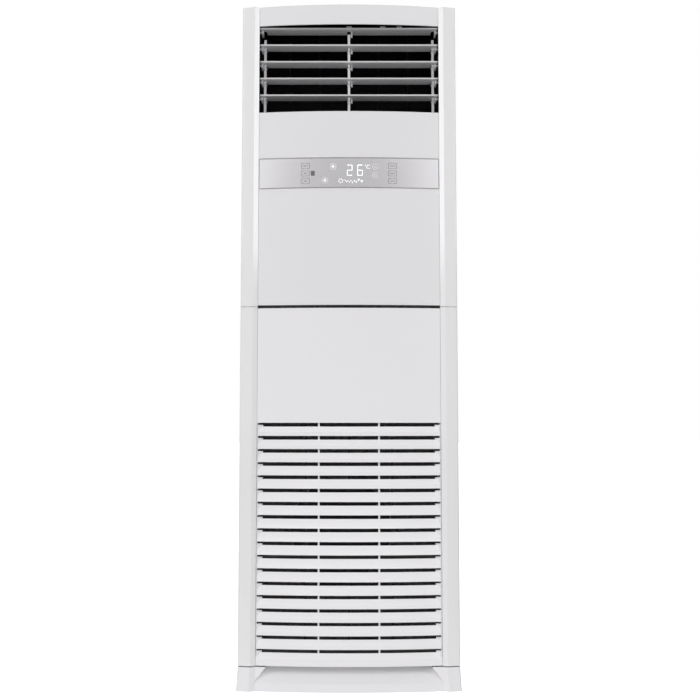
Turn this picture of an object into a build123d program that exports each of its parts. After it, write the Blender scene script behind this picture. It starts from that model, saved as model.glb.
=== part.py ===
from build123d import *
import math
import os

# Floor standing air conditioner: a tall cabinet with a bowed front, a slatted intake door low down,
# a bowed panel with a display strip above it, and a louvred outlet at the top. Inside, a centrifugal
# blower drives air up through a leaning evaporator coil to the outlet.
# Millimetres. +Z is up, the front faces -Y, and the origin is on the floor under the middle.

os.makedirs("parts", exist_ok=True)

# ---------------------------------------------------------------- driving dimensions
height = 1935.0
depth = 456.0
body_width = 614.0
foot_flare = 4.0         # how far each side of the foot stands out at the floor
trim_width = 49.5        # each side trim, seen from the front
bow_rise = 17.5          # how far the middle of the front stands ahead of the panel ends
foot_spread = 3.0        # how far the foot stands ahead of the panels
crown_drop = 2.5         # fall of the top from the middle to the panel ends
wall = 3.0               # moulded plastic
sheet = 1.2              # cabinet sheet steel
seam = 0.7               # gap between neighbouring front mouldings
edge_radius = 1.5        # rounding along the outlet's upper and lower front edges

plinth_top = 65.5
door_bottom = 69.0
door_top = 1056.7
grip_slit = 8.8          # finger gap above the door
crown_band = 58.3        # fascia above the outlet
outlet_tall = 254.7
band_drop = 134.3        # from the outlet down to the display strip's groove
band_tall = 89.5

trim_bevel = 14.3        # glossy inner bevel of the side trims, seen from the front
trim_ridge_rise = 6.5
trim_corner_radius = 6.0
trim_reach = 88.0        # how far the trims wrap along the sides
trim_lip = 16.5
trim_joint_gap = 1.2

slot_count = 18
slot_pitch = 36.48
slot_gap = 10.6
first_slot_top = 734.6
slat_face = 10.0
slat_lean = 8.0
slat_wall = 2.6
slat_margin = 2.5        # smooth door edge beside the slats
slot_end_bevel = 14.0
rib_place = 84.0
rib_width = 5.0
rib_depth = 12.0

louver_count = 5
louver_drop = 3.4        # first louver below the top of the outlet
louver_pitch = 49.4
louver_chord = 50.0
louver_edge = 5.0
louver_tail = 1.6
louver_setback = 7.5     # behind the panel ends
pivot_setback = 14.0
pivot_drop = 8.0
link_setback = 34.0
link_drop = 11.0
pivot_pin_radius = 3.0
link_pin_radius = 2.0
pin_clearance = 0.05

vane_count = 5
vane_pitch = 87.0
vane_setback = 92.0      # vane pivots behind the louvers' front edges
vane_chord = 60.0
vane_wall = 2.0
vane_pin_radius = 2.5

wheel_x = -22.0
wheel_z = 430.0
wheel_radius = 185.0
wheel_depth = 130.0
blade_count = 36
mouth_radius = 143.0
mouth_lip = 22.0
shaft_radius = 6.0
motor_radius = 65.0
motor_length = 86.0

coil_side_gap = 34.0     # from the fins to the duct, for the tube bends
coil_thickness = 44.0
coil_tube_radius = 4.76
coil_tube_spacing = 50.0

gas_pipe_radius = 9.525
pipe_clearance = 0.3
liquid_pipe_radius = 4.76
drain_radius = 9.0
pipe_bend = 32.0

floor_bolt_x = 500.0
floor_bolt_y = 300.0
floor_bolt_radius = 6.0
screw_head_height = 2.2
screw_radius = 1.9
screw_head_radius = 4.5
screw_reach = 8.0

# ---------------------------------------------------------------- places worked out from them
body_half = body_width / 2
foot_width = body_width + 2 * foot_flare
panel_half = body_half - trim_width
outlet_top = height - crown_band
outlet_bottom = outlet_top - outlet_tall
band_top = outlet_bottom - band_drop
band_bottom = band_top - band_tall
front_y = foot_spread - depth / 2
back_y = depth / 2
rear_face_y = back_y - screw_head_height
bow_radius = (panel_half**2 + bow_rise**2) / (2 * bow_rise)
bow_axis = Axis((0, front_y + bow_radius, 0), (0, 0, 1))
panel_end_y = front_y + bow_rise
louver_front = panel_end_y + louver_setback
vane_pivot_y = louver_front + vane_setback
upper_bottom = door_top + grip_slit
seat_y = panel_end_y - trim_ridge_rise + trim_reach
cover_seat = height - 7.0
crown_radius = (panel_half**2 + crown_drop**2) / (2 * crown_drop)
side_inner = body_half - 0.6 - sheet
frame_front_inset = wall + 1.5
frame_wall = 3.0
frame_half = panel_half + frame_wall + 0.5
frame_bottom = outlet_bottom - wall - frame_wall
frame_top = outlet_top + 21.3
frame_back = vane_pivot_y + 46.0
duct_wall = 14.0
duct_half = body_half - 45.0
partition_z = 822.0
along_x = (0, 90, 0)
along_y = (-90, 0, 0)


def bow_y(x, inset=0.0):
    """The bowed front's place at x, a distance behind its face."""
    return front_y + bow_radius - math.sqrt((bow_radius - inset) ** 2 - x**2)


def bow_strip(x_from, x_to, inset_front, inset_back):
    """Plan of a wall that follows the bow between two depths."""
    x_mid = (x_from + x_to) / 2
    with BuildSketch() as plan:
        with BuildLine():
            front = ThreePointArc(*[(x, bow_y(x, inset_front)) for x in (x_from, x_mid, x_to)])
            back = ThreePointArc(*[(x, bow_y(x, inset_back)) for x in (x_from, x_mid, x_to)])
            Line(front @ 0, back @ 0)
            Line(front @ 1, back @ 1)
        make_face()
    return plan.sketch


def bow_block(x_from, x_to, inset, y_back):
    """Plan that is bowed in front and straight behind."""
    x_mid = (x_from + x_to) / 2
    with BuildSketch() as plan:
        with BuildLine():
            front = ThreePointArc(*[(x, bow_y(x, inset)) for x in (x_from, x_mid, x_to)])
            Polyline(front @ 0, (x_from, y_back), (x_to, y_back), front @ 1)
        make_face()
    return plan.sketch


def polygon(*points):
    """Face through the given corners."""
    with BuildSketch() as face:
        with BuildLine():
            Polyline(*points, close=True)
        make_face()
    return face.sketch


def bow_turn(half_width):
    """Angle of the bow from the middle out to a half width."""
    return math.degrees(math.asin(half_width / bow_radius))


# ---------------------------------------------------------------- foot: plinth and base tray
plinth_wall = 4.0
plinth_front_wall = 39.0
toe_height = 22.0
toe_depth = 35.0
toe_top_half = panel_half - 29.5
toe_bottom_half = panel_half + 6.0
pocket_setback = 24.0     # hollow under the front of the foot
pocket_top = 44.0


def plinth_plan(spread):
    """Outline of the foot: 0 is the body's own plan, 1 the spread at the floor."""
    out = foot_flare * spread
    ahead = foot_spread * spread
    end = (panel_half + out / 4, panel_end_y - ahead)
    ridge = (panel_half + trim_bevel + out, panel_end_y - trim_ridge_rise - ahead)
    corner = (body_half + out, panel_end_y - ahead + 1.5)
    with BuildSketch() as plan:
        with BuildLine():
            ThreePointArc((-end[0], end[1]), (0, front_y - ahead), end)
            Polyline(end, ridge, corner, (corner[0], back_y), (-corner[0], back_y), (-corner[0], corner[1]),
                     (-ridge[0], ridge[1]), (-end[0], end[1]))
        make_face()
        outer = plan.vertices().filter_by(lambda v: abs(v.X) > body_half - 1)
        fillet(outer, radius=trim_corner_radius)
    return plan.sketch


with BuildPart() as toe_recess:
    with BuildSketch(Plane.YZ):
        add(polygon((front_y - 20, toe_height), (front_y - foot_spread, toe_height),
                    (front_y - foot_spread + toe_depth, plinth_top + 1), (front_y - 20, plinth_top + 1)))
    revolve(axis=bow_axis, revolution_arc=bow_turn(panel_half + 8))
    mirror(about=Plane.YZ)
    with BuildSketch(Plane.XZ):
        add(polygon((-toe_bottom_half, toe_height), (toe_bottom_half, toe_height),
                    (toe_top_half, plinth_top + 1), (-toe_top_half, plinth_top + 1)))
    extrude(amount=depth, both=True, mode=Mode.INTERSECT)

tray_front = panel_end_y + plinth_front_wall - bow_rise
tray_half = body_half - plinth_wall - 2
tray_back = back_y - plinth_wall

with BuildPart() as base_plinth:
    with BuildSketch(Plane.XY):
        add(plinth_plan(1))
    with BuildSketch(Plane.XY.offset(plinth_top)):
        add(plinth_plan(0))
    loft(ruled=True)
    with Locations((0, (tray_front + tray_back) / 2, plinth_top / 2)):
        Box(2 * tray_half, tray_back - tray_front, 2 * plinth_top, mode=Mode.SUBTRACT)
    add(toe_recess.part, mode=Mode.SUBTRACT)
    for turn in (-1, 1):
        with BuildSketch(Plane.YZ):
            add(polygon((front_y + plinth_wall, 0), (front_y + plinth_wall, toe_height - plinth_wall),
                        (front_y + pocket_setback, pocket_top), (tray_front - plinth_wall, pocket_top),
                        (tray_front - plinth_wall, 0)))
        revolve(axis=bow_axis, revolution_arc=turn * bow_turn(toe_top_half - 6), mode=Mode.SUBTRACT)

base_plinth.part.label = "base_plinth"
export_step(base_plinth.part, "parts/base_plinth.step")

tray_gap = 0.2
tray_sheet = 1.5
tray_middle = (tray_front + tray_back) / 2
tray_width = 2 * (tray_half - tray_gap)
tray_length = tray_back - tray_front - 2 * tray_gap

with BuildPart() as base_tray:
    with Locations((0, tray_middle, 0)):
        Box(tray_width, tray_length, plinth_top, align=(Align.CENTER, Align.CENTER, Align.MIN))
    with Locations((0, tray_middle, tray_sheet)):
        Box(tray_width - 2 * tray_sheet, tray_length - 2 * tray_sheet, plinth_top,
            align=(Align.CENTER, Align.CENTER, Align.MIN), mode=Mode.SUBTRACT)
    with Locations((0, tray_middle, tray_sheet)):
        with GridLocations(floor_bolt_x, floor_bolt_y, 2, 2):
            Hole(floor_bolt_radius, depth=2 * tray_sheet)

base_tray.part.label = "base_tray"
export_step(base_tray.part, "parts/base_tray.step")

# ---------------------------------------------------------------- crown that trims every top edge
crown_reach = foot_width / 2
crown_end = height - crown_radius + math.sqrt(crown_radius**2 - crown_reach**2)

with BuildPart() as above_crown:
    with BuildSketch(Plane.XZ):
        with BuildLine():
            ThreePointArc((-crown_reach, crown_end), (0, height), (crown_reach, crown_end))
            Polyline((crown_reach, crown_end), (crown_reach, height + 20), (-crown_reach, height + 20),
                     (-crown_reach, crown_end))
        make_face()
    extrude(amount=depth, both=True)

# ---------------------------------------------------------------- cabinet sides, back and top
flange_reach = 38.0
rear_flange = 22.0
sheet_corner = 3.0
side_outer = body_half - 0.6
flange_inner_x = side_outer - flange_reach
rear_flange_y = rear_face_y - sheet
rear_half = side_outer - 6.0
screw_rows = 7
screw_x = rear_half - 8.0
screw_first_z = plinth_top + 40.0
screw_step = (cover_seat - plinth_top - 80.0) / (screw_rows - 1)
screw_clearance = 0.1


def screw_points(height_offset):
    """Middles of the rear screws, in the rear panel's own plane."""
    return [(side * screw_x, height_offset + row * screw_step)
            for side in (-1, 1) for row in range(screw_rows)]


with BuildPart() as side_panel_right:
    with BuildSketch(Plane.XY.offset(plinth_top)):
        with BuildLine() as outline:
            Polyline((flange_inner_x, seat_y), (side_outer, seat_y), (side_outer, rear_flange_y),
                     (side_outer - rear_flange, rear_flange_y))
            fillet(outline.vertices().filter_by(lambda v: v.X > side_outer - 1), radius=sheet_corner)
            offset(amount=sheet, side=Side.LEFT)
        make_face()
    extrude(amount=cover_seat - plinth_top)
    with BuildSketch(Plane.XZ.offset(-rear_flange_y)):
        with Locations(*screw_points(screw_first_z)):
            Circle(screw_radius + screw_clearance)
    extrude(amount=2 * sheet, both=True, mode=Mode.SUBTRACT)

side_panel_right.part.label = "side_panel_right"
export_step(side_panel_right.part, "parts/side_panel_right.step")

with BuildPart() as side_panel_left:
    mirror(side_panel_right.part, about=Plane.YZ)

side_panel_left.part.label = "side_panel_left"
export_step(side_panel_left.part, "parts/side_panel_left.step")

pipe_window_x = body_half - 129.0
pipe_window_z = 150.0
pipe_window_width = 116.0
pipe_window_height = 80.0
drain_x = 107.0 - body_half
drain_z = 110.0
gland_x = -120.0
gland_z = 150.0
gland_radius = 11.0
gland_bore_radius = 7.0
gland_reach = 6.0          # how far the gland's body stands inside the panel

with BuildPart() as rear_panel:
    with BuildSketch(Plane.XZ.offset(-rear_flange_y)):
        with Locations((0, (plinth_top + cover_seat) / 2)):
            Rectangle(2 * rear_half, cover_seat - plinth_top - 2)
        with Locations((pipe_window_x, pipe_window_z)):
            RectangleRounded(pipe_window_width, pipe_window_height, 10, mode=Mode.SUBTRACT)
        with Locations((drain_x, drain_z)):
            Circle(2 * drain_radius, mode=Mode.SUBTRACT)
        with Locations((gland_x, gland_z)):
            Circle(gland_radius, mode=Mode.SUBTRACT)
        with Locations(*screw_points(screw_first_z)):
            Circle(screw_radius + screw_clearance, mode=Mode.SUBTRACT)
    extrude(amount=-sheet)

rear_panel.part.label = "rear_panel"
export_step(rear_panel.part, "parts/rear_panel.step")

with BuildPart() as rear_screws:
    with BuildSketch(Plane.XZ.offset(-rear_face_y)):
        with Locations(*screw_points(screw_first_z)):
            Circle(screw_head_radius)
    extrude(amount=-screw_head_height)
    with BuildSketch(Plane.XZ.offset(-rear_face_y)):
        with Locations(*screw_points(screw_first_z)):
            Circle(screw_radius)
    extrude(amount=screw_reach)
    chamfer(rear_screws.faces().filter_by(Axis.Y).group_by(Axis.Y)[-1].edges(), length=0.8)

rear_screws.part.label = "rear_screws"
export_step(rear_screws.part, "parts/rear_screws.step")

with BuildPart() as cable_gland:
    with BuildSketch(Plane.XZ.offset(-(rear_flange_y - gland_reach))):
        with Locations((gland_x, gland_z)):
            Circle(gland_radius - 0.2)
            Circle(gland_bore_radius, mode=Mode.SUBTRACT)
    extrude(amount=-(gland_reach + sheet))
    with BuildSketch(Plane.XZ.offset(-rear_flange_y)):
        with Locations((gland_x, gland_z)):
            Circle(gland_radius + 4)
            Circle(gland_bore_radius, mode=Mode.SUBTRACT)
    extrude(amount=3)
    with BuildSketch(Plane.XZ.offset(-rear_face_y)):
        with Locations((gland_x, gland_z)):
            Circle(gland_radius + 2)
            Circle(gland_bore_radius, mode=Mode.SUBTRACT)
    extrude(amount=-screw_head_height)

cable_gland.part.label = "cable_gland"
export_step(cable_gland.part, "parts/cable_gland.step")

with BuildPart() as top_cover:
    with Locations((0, (seat_y + back_y) / 2 + seam / 2, cover_seat)):
        Box(body_width, back_y - seat_y - seam, height - cover_seat,
            align=(Align.CENTER, Align.CENTER, Align.MIN))
    fillet(top_cover.edges().filter_by(Axis.Z).group_by(Axis.Y)[-1], radius=8)
    add(above_crown.part, mode=Mode.SUBTRACT)
    with Locations((0, (seat_y + back_y) / 2, cover_seat)):
        Box(2 * side_inner - 30, back_y - seat_y - 40, 4, mode=Mode.SUBTRACT)

top_cover.part.label = "top_cover"
export_step(top_cover.part, "parts/top_cover.step")

# ---------------------------------------------------------------- side trims
trim_inner_x = panel_half + seam
ridge_x = panel_half + trim_bevel
ridge_y = panel_end_y - trim_ridge_rise
trim_lip_depth = 4.0
trim_corner_y = panel_end_y + 1.5
trim_split = door_top + grip_slit / 2
trim_bottom = plinth_top + 2.7
lug_height = 18.0
hinge_y = panel_end_y + 8.0
hinge_z = door_bottom + 5.0
hinge_pin_radius = 2.5


def trim_wall():
    """Plan of the right trim's wall: inner lip, glossy bevel, face, rounded corner, side and seat."""
    with BuildSketch() as plan:
        with BuildLine() as path:
            Polyline((trim_inner_x, panel_end_y + trim_lip_depth), (trim_inner_x, panel_end_y),
                     (ridge_x, ridge_y), (body_half, trim_corner_y), (body_half, seat_y),
                     (body_half - trim_lip - wall, seat_y))
            fillet(path.vertices().filter_by(lambda v: v.X > body_half - 1 and v.Y < seat_y - 1),
                   radius=trim_corner_radius)
            fillet(path.vertices().sort_by_distance((ridge_x, ridge_y))[0], radius=1.0)
            offset(amount=wall, side=Side.LEFT)
        make_face()
    return plan.sketch


def trim_cap():
    """Plan of the closed top of the right trim."""
    with BuildSketch() as plan:
        with BuildLine() as path:
            Polyline((trim_inner_x, panel_end_y), (ridge_x, ridge_y), (body_half, trim_corner_y),
                     (body_half, seat_y), (trim_inner_x, seat_y), close=True)
        make_face()
        fillet(plan.vertices().sort_by_distance((body_half, trim_corner_y))[0], radius=trim_corner_radius)
        fillet(plan.vertices().sort_by_distance((ridge_x, ridge_y))[0], radius=1.0)
    return plan.sketch


with BuildPart() as upper_trim_right:
    with BuildSketch(Plane.XY.offset(trim_split + trim_joint_gap / 2)):
        add(trim_wall())
    extrude(amount=height - trim_split - trim_joint_gap / 2)
    with BuildSketch(Plane.XY.offset(cover_seat)):
        add(trim_cap())
    extrude(amount=height - cover_seat)
    add(above_crown.part, mode=Mode.SUBTRACT)

upper_trim_right.part.label = "upper_trim_right"
export_step(upper_trim_right.part, "parts/upper_trim_right.step")

with BuildPart() as upper_trim_left:
    mirror(upper_trim_right.part, about=Plane.YZ)

upper_trim_left.part.label = "upper_trim_left"
export_step(upper_trim_left.part, "parts/upper_trim_left.step")

with BuildPart() as lower_trim_right:
    with BuildSketch(Plane.XY.offset(trim_bottom)):
        add(trim_wall())
    extrude(amount=trim_split - trim_joint_gap / 2 - trim_bottom)
    with Locations((trim_inner_x + 1, panel_end_y + trim_lip_depth, trim_bottom)):
        Box(wall, hinge_y - panel_end_y + 6, lug_height, align=(Align.MIN, Align.MIN, Align.MIN))
    with Locations((trim_inner_x + wall, hinge_y, hinge_z)):
        Cylinder(hinge_pin_radius + pin_clearance, 4 * wall, rotation=along_x, mode=Mode.SUBTRACT)

lower_trim_right.part.label = "lower_trim_right"
export_step(lower_trim_right.part, "parts/lower_trim_right.step")

with BuildPart() as lower_trim_left:
    mirror(lower_trim_right.part, about=Plane.YZ)

lower_trim_left.part.label = "lower_trim_left"
export_step(lower_trim_left.part, "parts/lower_trim_left.step")

# ---------------------------------------------------------------- top fascia
fascia_flange = 60.0

with BuildPart() as top_fascia:
    with BuildSketch(Plane.XY.offset(outlet_top)):
        add(bow_strip(-panel_half, panel_half, 0, wall))
    extrude(amount=height - outlet_top)
    with BuildSketch(Plane.XY.offset(cover_seat)):
        add(bow_block(-panel_half, panel_half, 0, seat_y))
    extrude(amount=height - cover_seat)
    for side in (-1, 1):
        with Locations((side * (panel_half - wall / 2), panel_end_y + 1, frame_top)):
            Box(wall, fascia_flange, cover_seat - frame_top, align=(Align.CENTER, Align.MIN, Align.MIN))
    low_face = top_fascia.faces().filter_by(Axis.Z).sort_by(Axis.Z)[0]
    fillet(low_face.edges().sort_by(Axis.Y)[0], radius=edge_radius)
    add(above_crown.part, mode=Mode.SUBTRACT)

top_fascia.part.label = "top_fascia"
export_step(top_fascia.part, "parts/top_fascia.step")

# ---------------------------------------------------------------- upper front panel
band_inset = 2.5
band_groove = 1.5
strip_inset = 0.3
panel_flange = 17.0
guide_left = -79.0
guide_right = 87.0
key_place = 124.0
key_width = 24.8
key_height = 16.2
key_pitch = 21.6
key_middle_z = (band_bottom + band_top) / 2 - 1.45
guide_bottom = key_middle_z - 35.5
guide_top = key_middle_z + 37.5
key_gap = 0.25
key_corner = 2.5
board_y = panel_end_y + 1.5
board_thick = 1.6
board_half = 150.0
board_post_x = 143.0
board_post_z = 34.0
crossbar_y = panel_end_y + 42.5
post_x = 170.0

with BuildPart() as upper_front_panel:
    with BuildSketch(Plane.XY.offset(upper_bottom)):
        add(bow_strip(-panel_half, panel_half, 0, wall))
    extrude(amount=outlet_bottom - upper_bottom)
    for lip_z in (upper_bottom, outlet_bottom - wall):
        with BuildSketch(Plane.XY.offset(lip_z)):
            add(bow_strip(-panel_half, panel_half, 0, panel_flange - wall))
        extrude(amount=wall)
    for side in (-1, 1):
        with BuildSketch(Plane.XY.offset(upper_bottom)):
            add(bow_block(side * panel_half, side * (panel_half - wall), 0, panel_end_y + panel_flange))
        extrude(amount=frame_bottom - upper_bottom)
    with BuildSketch(Plane.XY.offset(band_bottom - wall)):
        add(bow_strip(-panel_half, panel_half, 1, band_inset + wall))
    extrude(amount=band_top - band_bottom + 2 * wall)
    with BuildSketch(Plane.XY.offset(band_bottom)):
        add(bow_strip(-panel_half - 1, panel_half + 1, -5, band_inset))
    extrude(amount=band_top - band_bottom, mode=Mode.SUBTRACT)
    with Locations(((guide_left + guide_right) / 2, front_y, (guide_bottom + guide_top) / 2)):
        Box(guide_right - guide_left + 1, 40, guide_top - guide_bottom + 1, mode=Mode.SUBTRACT)
    for side in (-1, 1):
        with Locations((side * key_place, front_y, key_middle_z)):
            Box(key_width + 4, 40, 2 * key_pitch + key_height + 4, mode=Mode.SUBTRACT)
        for tall in (-1, 1):
            with Locations((side * board_post_x, board_y, key_middle_z + tall * board_post_z)):
                Cylinder(3, board_y - bow_y(board_post_x, band_inset + 1), rotation=along_y,
                         align=(Align.CENTER, Align.CENTER, Align.MAX))
        with Locations((side * post_x, crossbar_y, upper_bottom + 14)):
            Cylinder(6, crossbar_y - bow_y(post_x, 1), rotation=along_y,
                     align=(Align.CENTER, Align.CENTER, Align.MAX))
    top_face = upper_front_panel.faces().filter_by(Axis.Z).sort_by(Axis.Z)[-1]
    fillet(top_face.edges().sort_by(Axis.Y)[0], radius=edge_radius)

upper_front_panel.part.label = "upper_front_panel"
export_step(upper_front_panel.part, "parts/upper_front_panel.step")

# ---------------------------------------------------------------- display strip, keys and board
key_rows = {"upper": key_pitch, "middle": 0.0, "lower": -key_pitch}
key_sides = {"left": -key_place, "right": key_place}
switch_size = 6.0
switch_height = 3.5
switch_gap = 0.9

with BuildPart() as display_panel:
    with BuildSketch(Plane.XY.offset(band_bottom + band_groove)):
        add(bow_strip(-panel_half + 0.5, panel_half - 0.5, strip_inset, band_inset))
    extrude(amount=band_top - band_bottom - 2 * band_groove)
    with BuildSketch(Plane.XZ.offset(-front_y - bow_rise)):
        for key_x in key_sides.values():
            for row in key_rows.values():
                with Locations((key_x, key_middle_z + row)):
                    RectangleRounded(key_width + 2 * key_gap, key_height + 2 * key_gap,
                                     key_corner + key_gap)
    extrude(amount=2 * bow_rise, both=True, mode=Mode.SUBTRACT)

display_panel.part.label = "display_panel"
export_step(display_panel.part, "parts/display_panel.step")

for side_name, key_x in key_sides.items():
    for row_name, row in key_rows.items():
        with BuildPart() as key:
            with BuildSketch(Plane.XY.offset(key_middle_z + row - key_height / 2)):
                add(bow_strip(key_x - key_width / 2, key_x + key_width / 2, strip_inset,
                              strip_inset + wall))
            extrude(amount=key_height)
            fillet(key.edges().filter_by(Axis.Y), radius=key_corner)
            stem_end = board_y - switch_height - switch_gap
            with Locations((key_x, stem_end, key_middle_z + row)):
                Cylinder(3, stem_end - bow_y(key_x, 2), rotation=along_y,
                         align=(Align.CENTER, Align.CENTER, Align.MAX))
        key.part.label = f"key_{side_name}_{row_name}"
        export_step(key.part, f"parts/key_{side_name}_{row_name}.step")

with BuildPart() as display_board:
    with Locations((0, board_y, key_middle_z)):
        Box(2 * board_half, board_thick, 2 * board_post_z + 14,
            align=(Align.CENTER, Align.MIN, Align.CENTER))
    for key_x in key_sides.values():
        for row in key_rows.values():
            with Locations((key_x, board_y, key_middle_z + row)):
                Box(switch_size, switch_height, switch_size,
                    align=(Align.CENTER, Align.MAX, Align.CENTER))
    with Locations((-20, board_y + board_thick, key_middle_z + 12)):
        Box(24, 2.5, 24, align=(Align.CENTER, Align.MIN, Align.CENTER))
    with Locations((60, board_y + board_thick, key_middle_z - 14)):
        Box(40, 9, 10, align=(Align.CENTER, Align.MIN, Align.CENTER))

display_board.part.label = "display_board"
export_step(display_board.part, "parts/display_board.step")

digit_width = 19.0
digit_height = 34.0
digit_pitch = 30.0

with BuildPart() as light_guide:
    with BuildSketch(Plane.XY.offset(guide_bottom)):
        add(bow_block(guide_left, guide_right, band_inset + 0.3, board_y))
    extrude(amount=guide_top - guide_bottom)
    with Locations((-digit_pitch / 2, front_y, key_middle_z), (digit_pitch / 2, front_y, key_middle_z)):
        Box(digit_width, 24, digit_height, mode=Mode.SUBTRACT)
    with Locations((-60, front_y, key_middle_z), (66, front_y, key_middle_z)):
        Box(22, 24, 54, mode=Mode.SUBTRACT)

light_guide.part.label = "light_guide"
export_step(light_guide.part, "parts/light_guide.step")

# ---------------------------------------------------------------- outlet frame
pivot_y = louver_front + pivot_setback
link_y = louver_front + link_setback
louver_levels = [outlet_top - louver_drop - index * louver_pitch for index in range(louver_count)]
vane_places = [(index - (vane_count - 1) / 2) * vane_pitch for index in range(vane_count)]
opening_low = frame_bottom + frame_wall
opening_high = frame_top - frame_wall

with BuildPart() as outlet_frame:
    with BuildSketch(Plane.XY.offset(frame_bottom)):
        add(bow_block(-frame_half, frame_half, frame_front_inset, frame_back))
    extrude(amount=frame_top - frame_bottom)
    with Locations((0, 0, (opening_low + opening_high) / 2)):
        Box(2 * (frame_half - frame_wall), depth * 2, opening_high - opening_low, mode=Mode.SUBTRACT)
    with Locations(*[(0, pivot_y, level - pivot_drop) for level in louver_levels]):
        Cylinder(pivot_pin_radius + pin_clearance, body_width, rotation=along_x, mode=Mode.SUBTRACT)
    with Locations(*[(x, vane_pivot_y, (opening_low + opening_high) / 2) for x in vane_places]):
        Cylinder(vane_pin_radius + pin_clearance, frame_top - frame_bottom + 10, mode=Mode.SUBTRACT)

outlet_frame.part.label = "outlet_frame"
export_step(outlet_frame.part, "parts/outlet_frame.step")

# ---------------------------------------------------------------- louvers and their link rods
louver_half = panel_half - 0.7
ear_wall = 5.0
ear_x = louver_half - 3.7 - ear_wall / 2
side_rod_x = ear_x - 6.4
centre_ear_x = 8.0
rod_width = 7.0
rod_thick = 4.0
notch_width = 10.0
notch_setback = 21.0
boss_radius = 4.5
tab_places = (0.0, 98.0, 146.0)     # raised spots on the first louver's top edge
tab_width = 15.0
tab_depth = 5.0
tab_rise = 4.0
tab_setback = 2.0
rod_tail = 30.0          # how far the rods run on below the last louver's pins
side_rod_head = 26.0
centre_rod_head = 5.0

for index, level in enumerate(louver_levels):
    ear_root = level - louver_edge / 2 + louver_tail / 2
    tail_y = louver_front + louver_chord
    with BuildPart() as louver:
        with BuildSketch(Plane.YZ):
            add(polygon((louver_front, level + louver_edge / 2), (louver_front, level - louver_edge / 2),
                        (tail_y, level - louver_edge / 2), (tail_y, level - louver_edge / 2 + louver_tail)))
        extrude(amount=louver_half, both=True)
        fillet(louver.edges().filter_by(Axis.X).group_by(Axis.Y)[0], radius=1.6)
        with Locations(*[(x, louver_front + notch_setback, level) for x in (-side_rod_x, 0, side_rod_x)]):
            Box(notch_width, louver_chord, 4 * louver_edge, align=(Align.CENTER, Align.MIN, Align.CENTER),
                mode=Mode.SUBTRACT)
        for side in (-1, 1):
            with BuildSketch(Plane.YZ.offset(side * ear_x)):
                add(polygon((pivot_y - 6, ear_root), (pivot_y - 5, level - pivot_drop - 4),
                            (pivot_y + 3, level - link_drop - 4.5), (link_y + 4, level - link_drop - 4.5),
                            (link_y + 6, ear_root)))
            extrude(amount=ear_wall / 2, both=True)
            with Locations((side * (ear_x + frame_half) / 2, pivot_y, level - pivot_drop)):
                Cylinder(pivot_pin_radius, frame_half - 0.3 - ear_x, rotation=along_x)
            if index > 0:
                with Locations((side * (ear_x - 6), link_y, level - link_drop)):
                    Cylinder(link_pin_radius, 12, rotation=along_x)
        with BuildSketch(Plane.YZ.offset(centre_ear_x)):
            add(polygon((link_y - 7, ear_root), (link_y - 4, level - link_drop - 4.5),
                        (link_y + 4, level - link_drop - 4.5), (link_y + 7, ear_root)))
        extrude(amount=ear_wall / 2, both=True)
        with Locations((centre_ear_x / 2 - 2.5, link_y, level - link_drop)):
            Cylinder(link_pin_radius, centre_ear_x + 5, rotation=along_x)
        if index == 0:
            tab_y = louver_front + tab_setback
            with Locations(*[(x, tab_y, level + louver_edge / 2 - 1) for x in tab_places]):
                Box(tab_width, tab_depth, tab_rise + 1, align=(Align.CENTER, Align.MIN, Align.MIN))
    louver.part.label = f"louver_{index + 1}"
    export_step(louver.part, f"parts/louver_{index + 1}.step")

rod_low = louver_levels[-1] - link_drop - rod_tail
side_rod_top = louver_levels[1] + side_rod_head
centre_rod_top = louver_levels[0] - link_drop + centre_rod_head

with BuildPart() as louver_links:
    for rod_x in (-side_rod_x, 0, side_rod_x):
        rod_top = side_rod_top if rod_x else centre_rod_top
        joined = louver_levels[1:] if rod_x else louver_levels
        with Locations((rod_x, link_y, rod_low)):
            Box(rod_width, rod_thick, rod_top - rod_low, align=(Align.CENTER, Align.CENTER, Align.MIN))
        with Locations(*[(rod_x, link_y, level - link_drop) for level in joined]):
            Cylinder(boss_radius, rod_width, rotation=along_x)
            Cylinder(link_pin_radius + pin_clearance, 2 * rod_width, rotation=along_x, mode=Mode.SUBTRACT)

louver_links.part.label = "louver_links"
export_step(louver_links.part, "parts/louver_links.step")

# ---------------------------------------------------------------- swing vanes, their link bar and motor
vane_low = opening_low + 3
vane_high = opening_high - 3
vane_link_setback = 22.0
vane_notch_low = vane_low + 16
vane_notch_height = 12.0
vane_notch_depth = 22.0
vane_pin_root = 14.0       # how deep a vane's upper pin is rooted in its blade
bar_width = 8.0
bar_thick = 3.0
motor_socket = 9.0
swing_motor_radius = 14.0
swing_motor_height = 18.0

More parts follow.
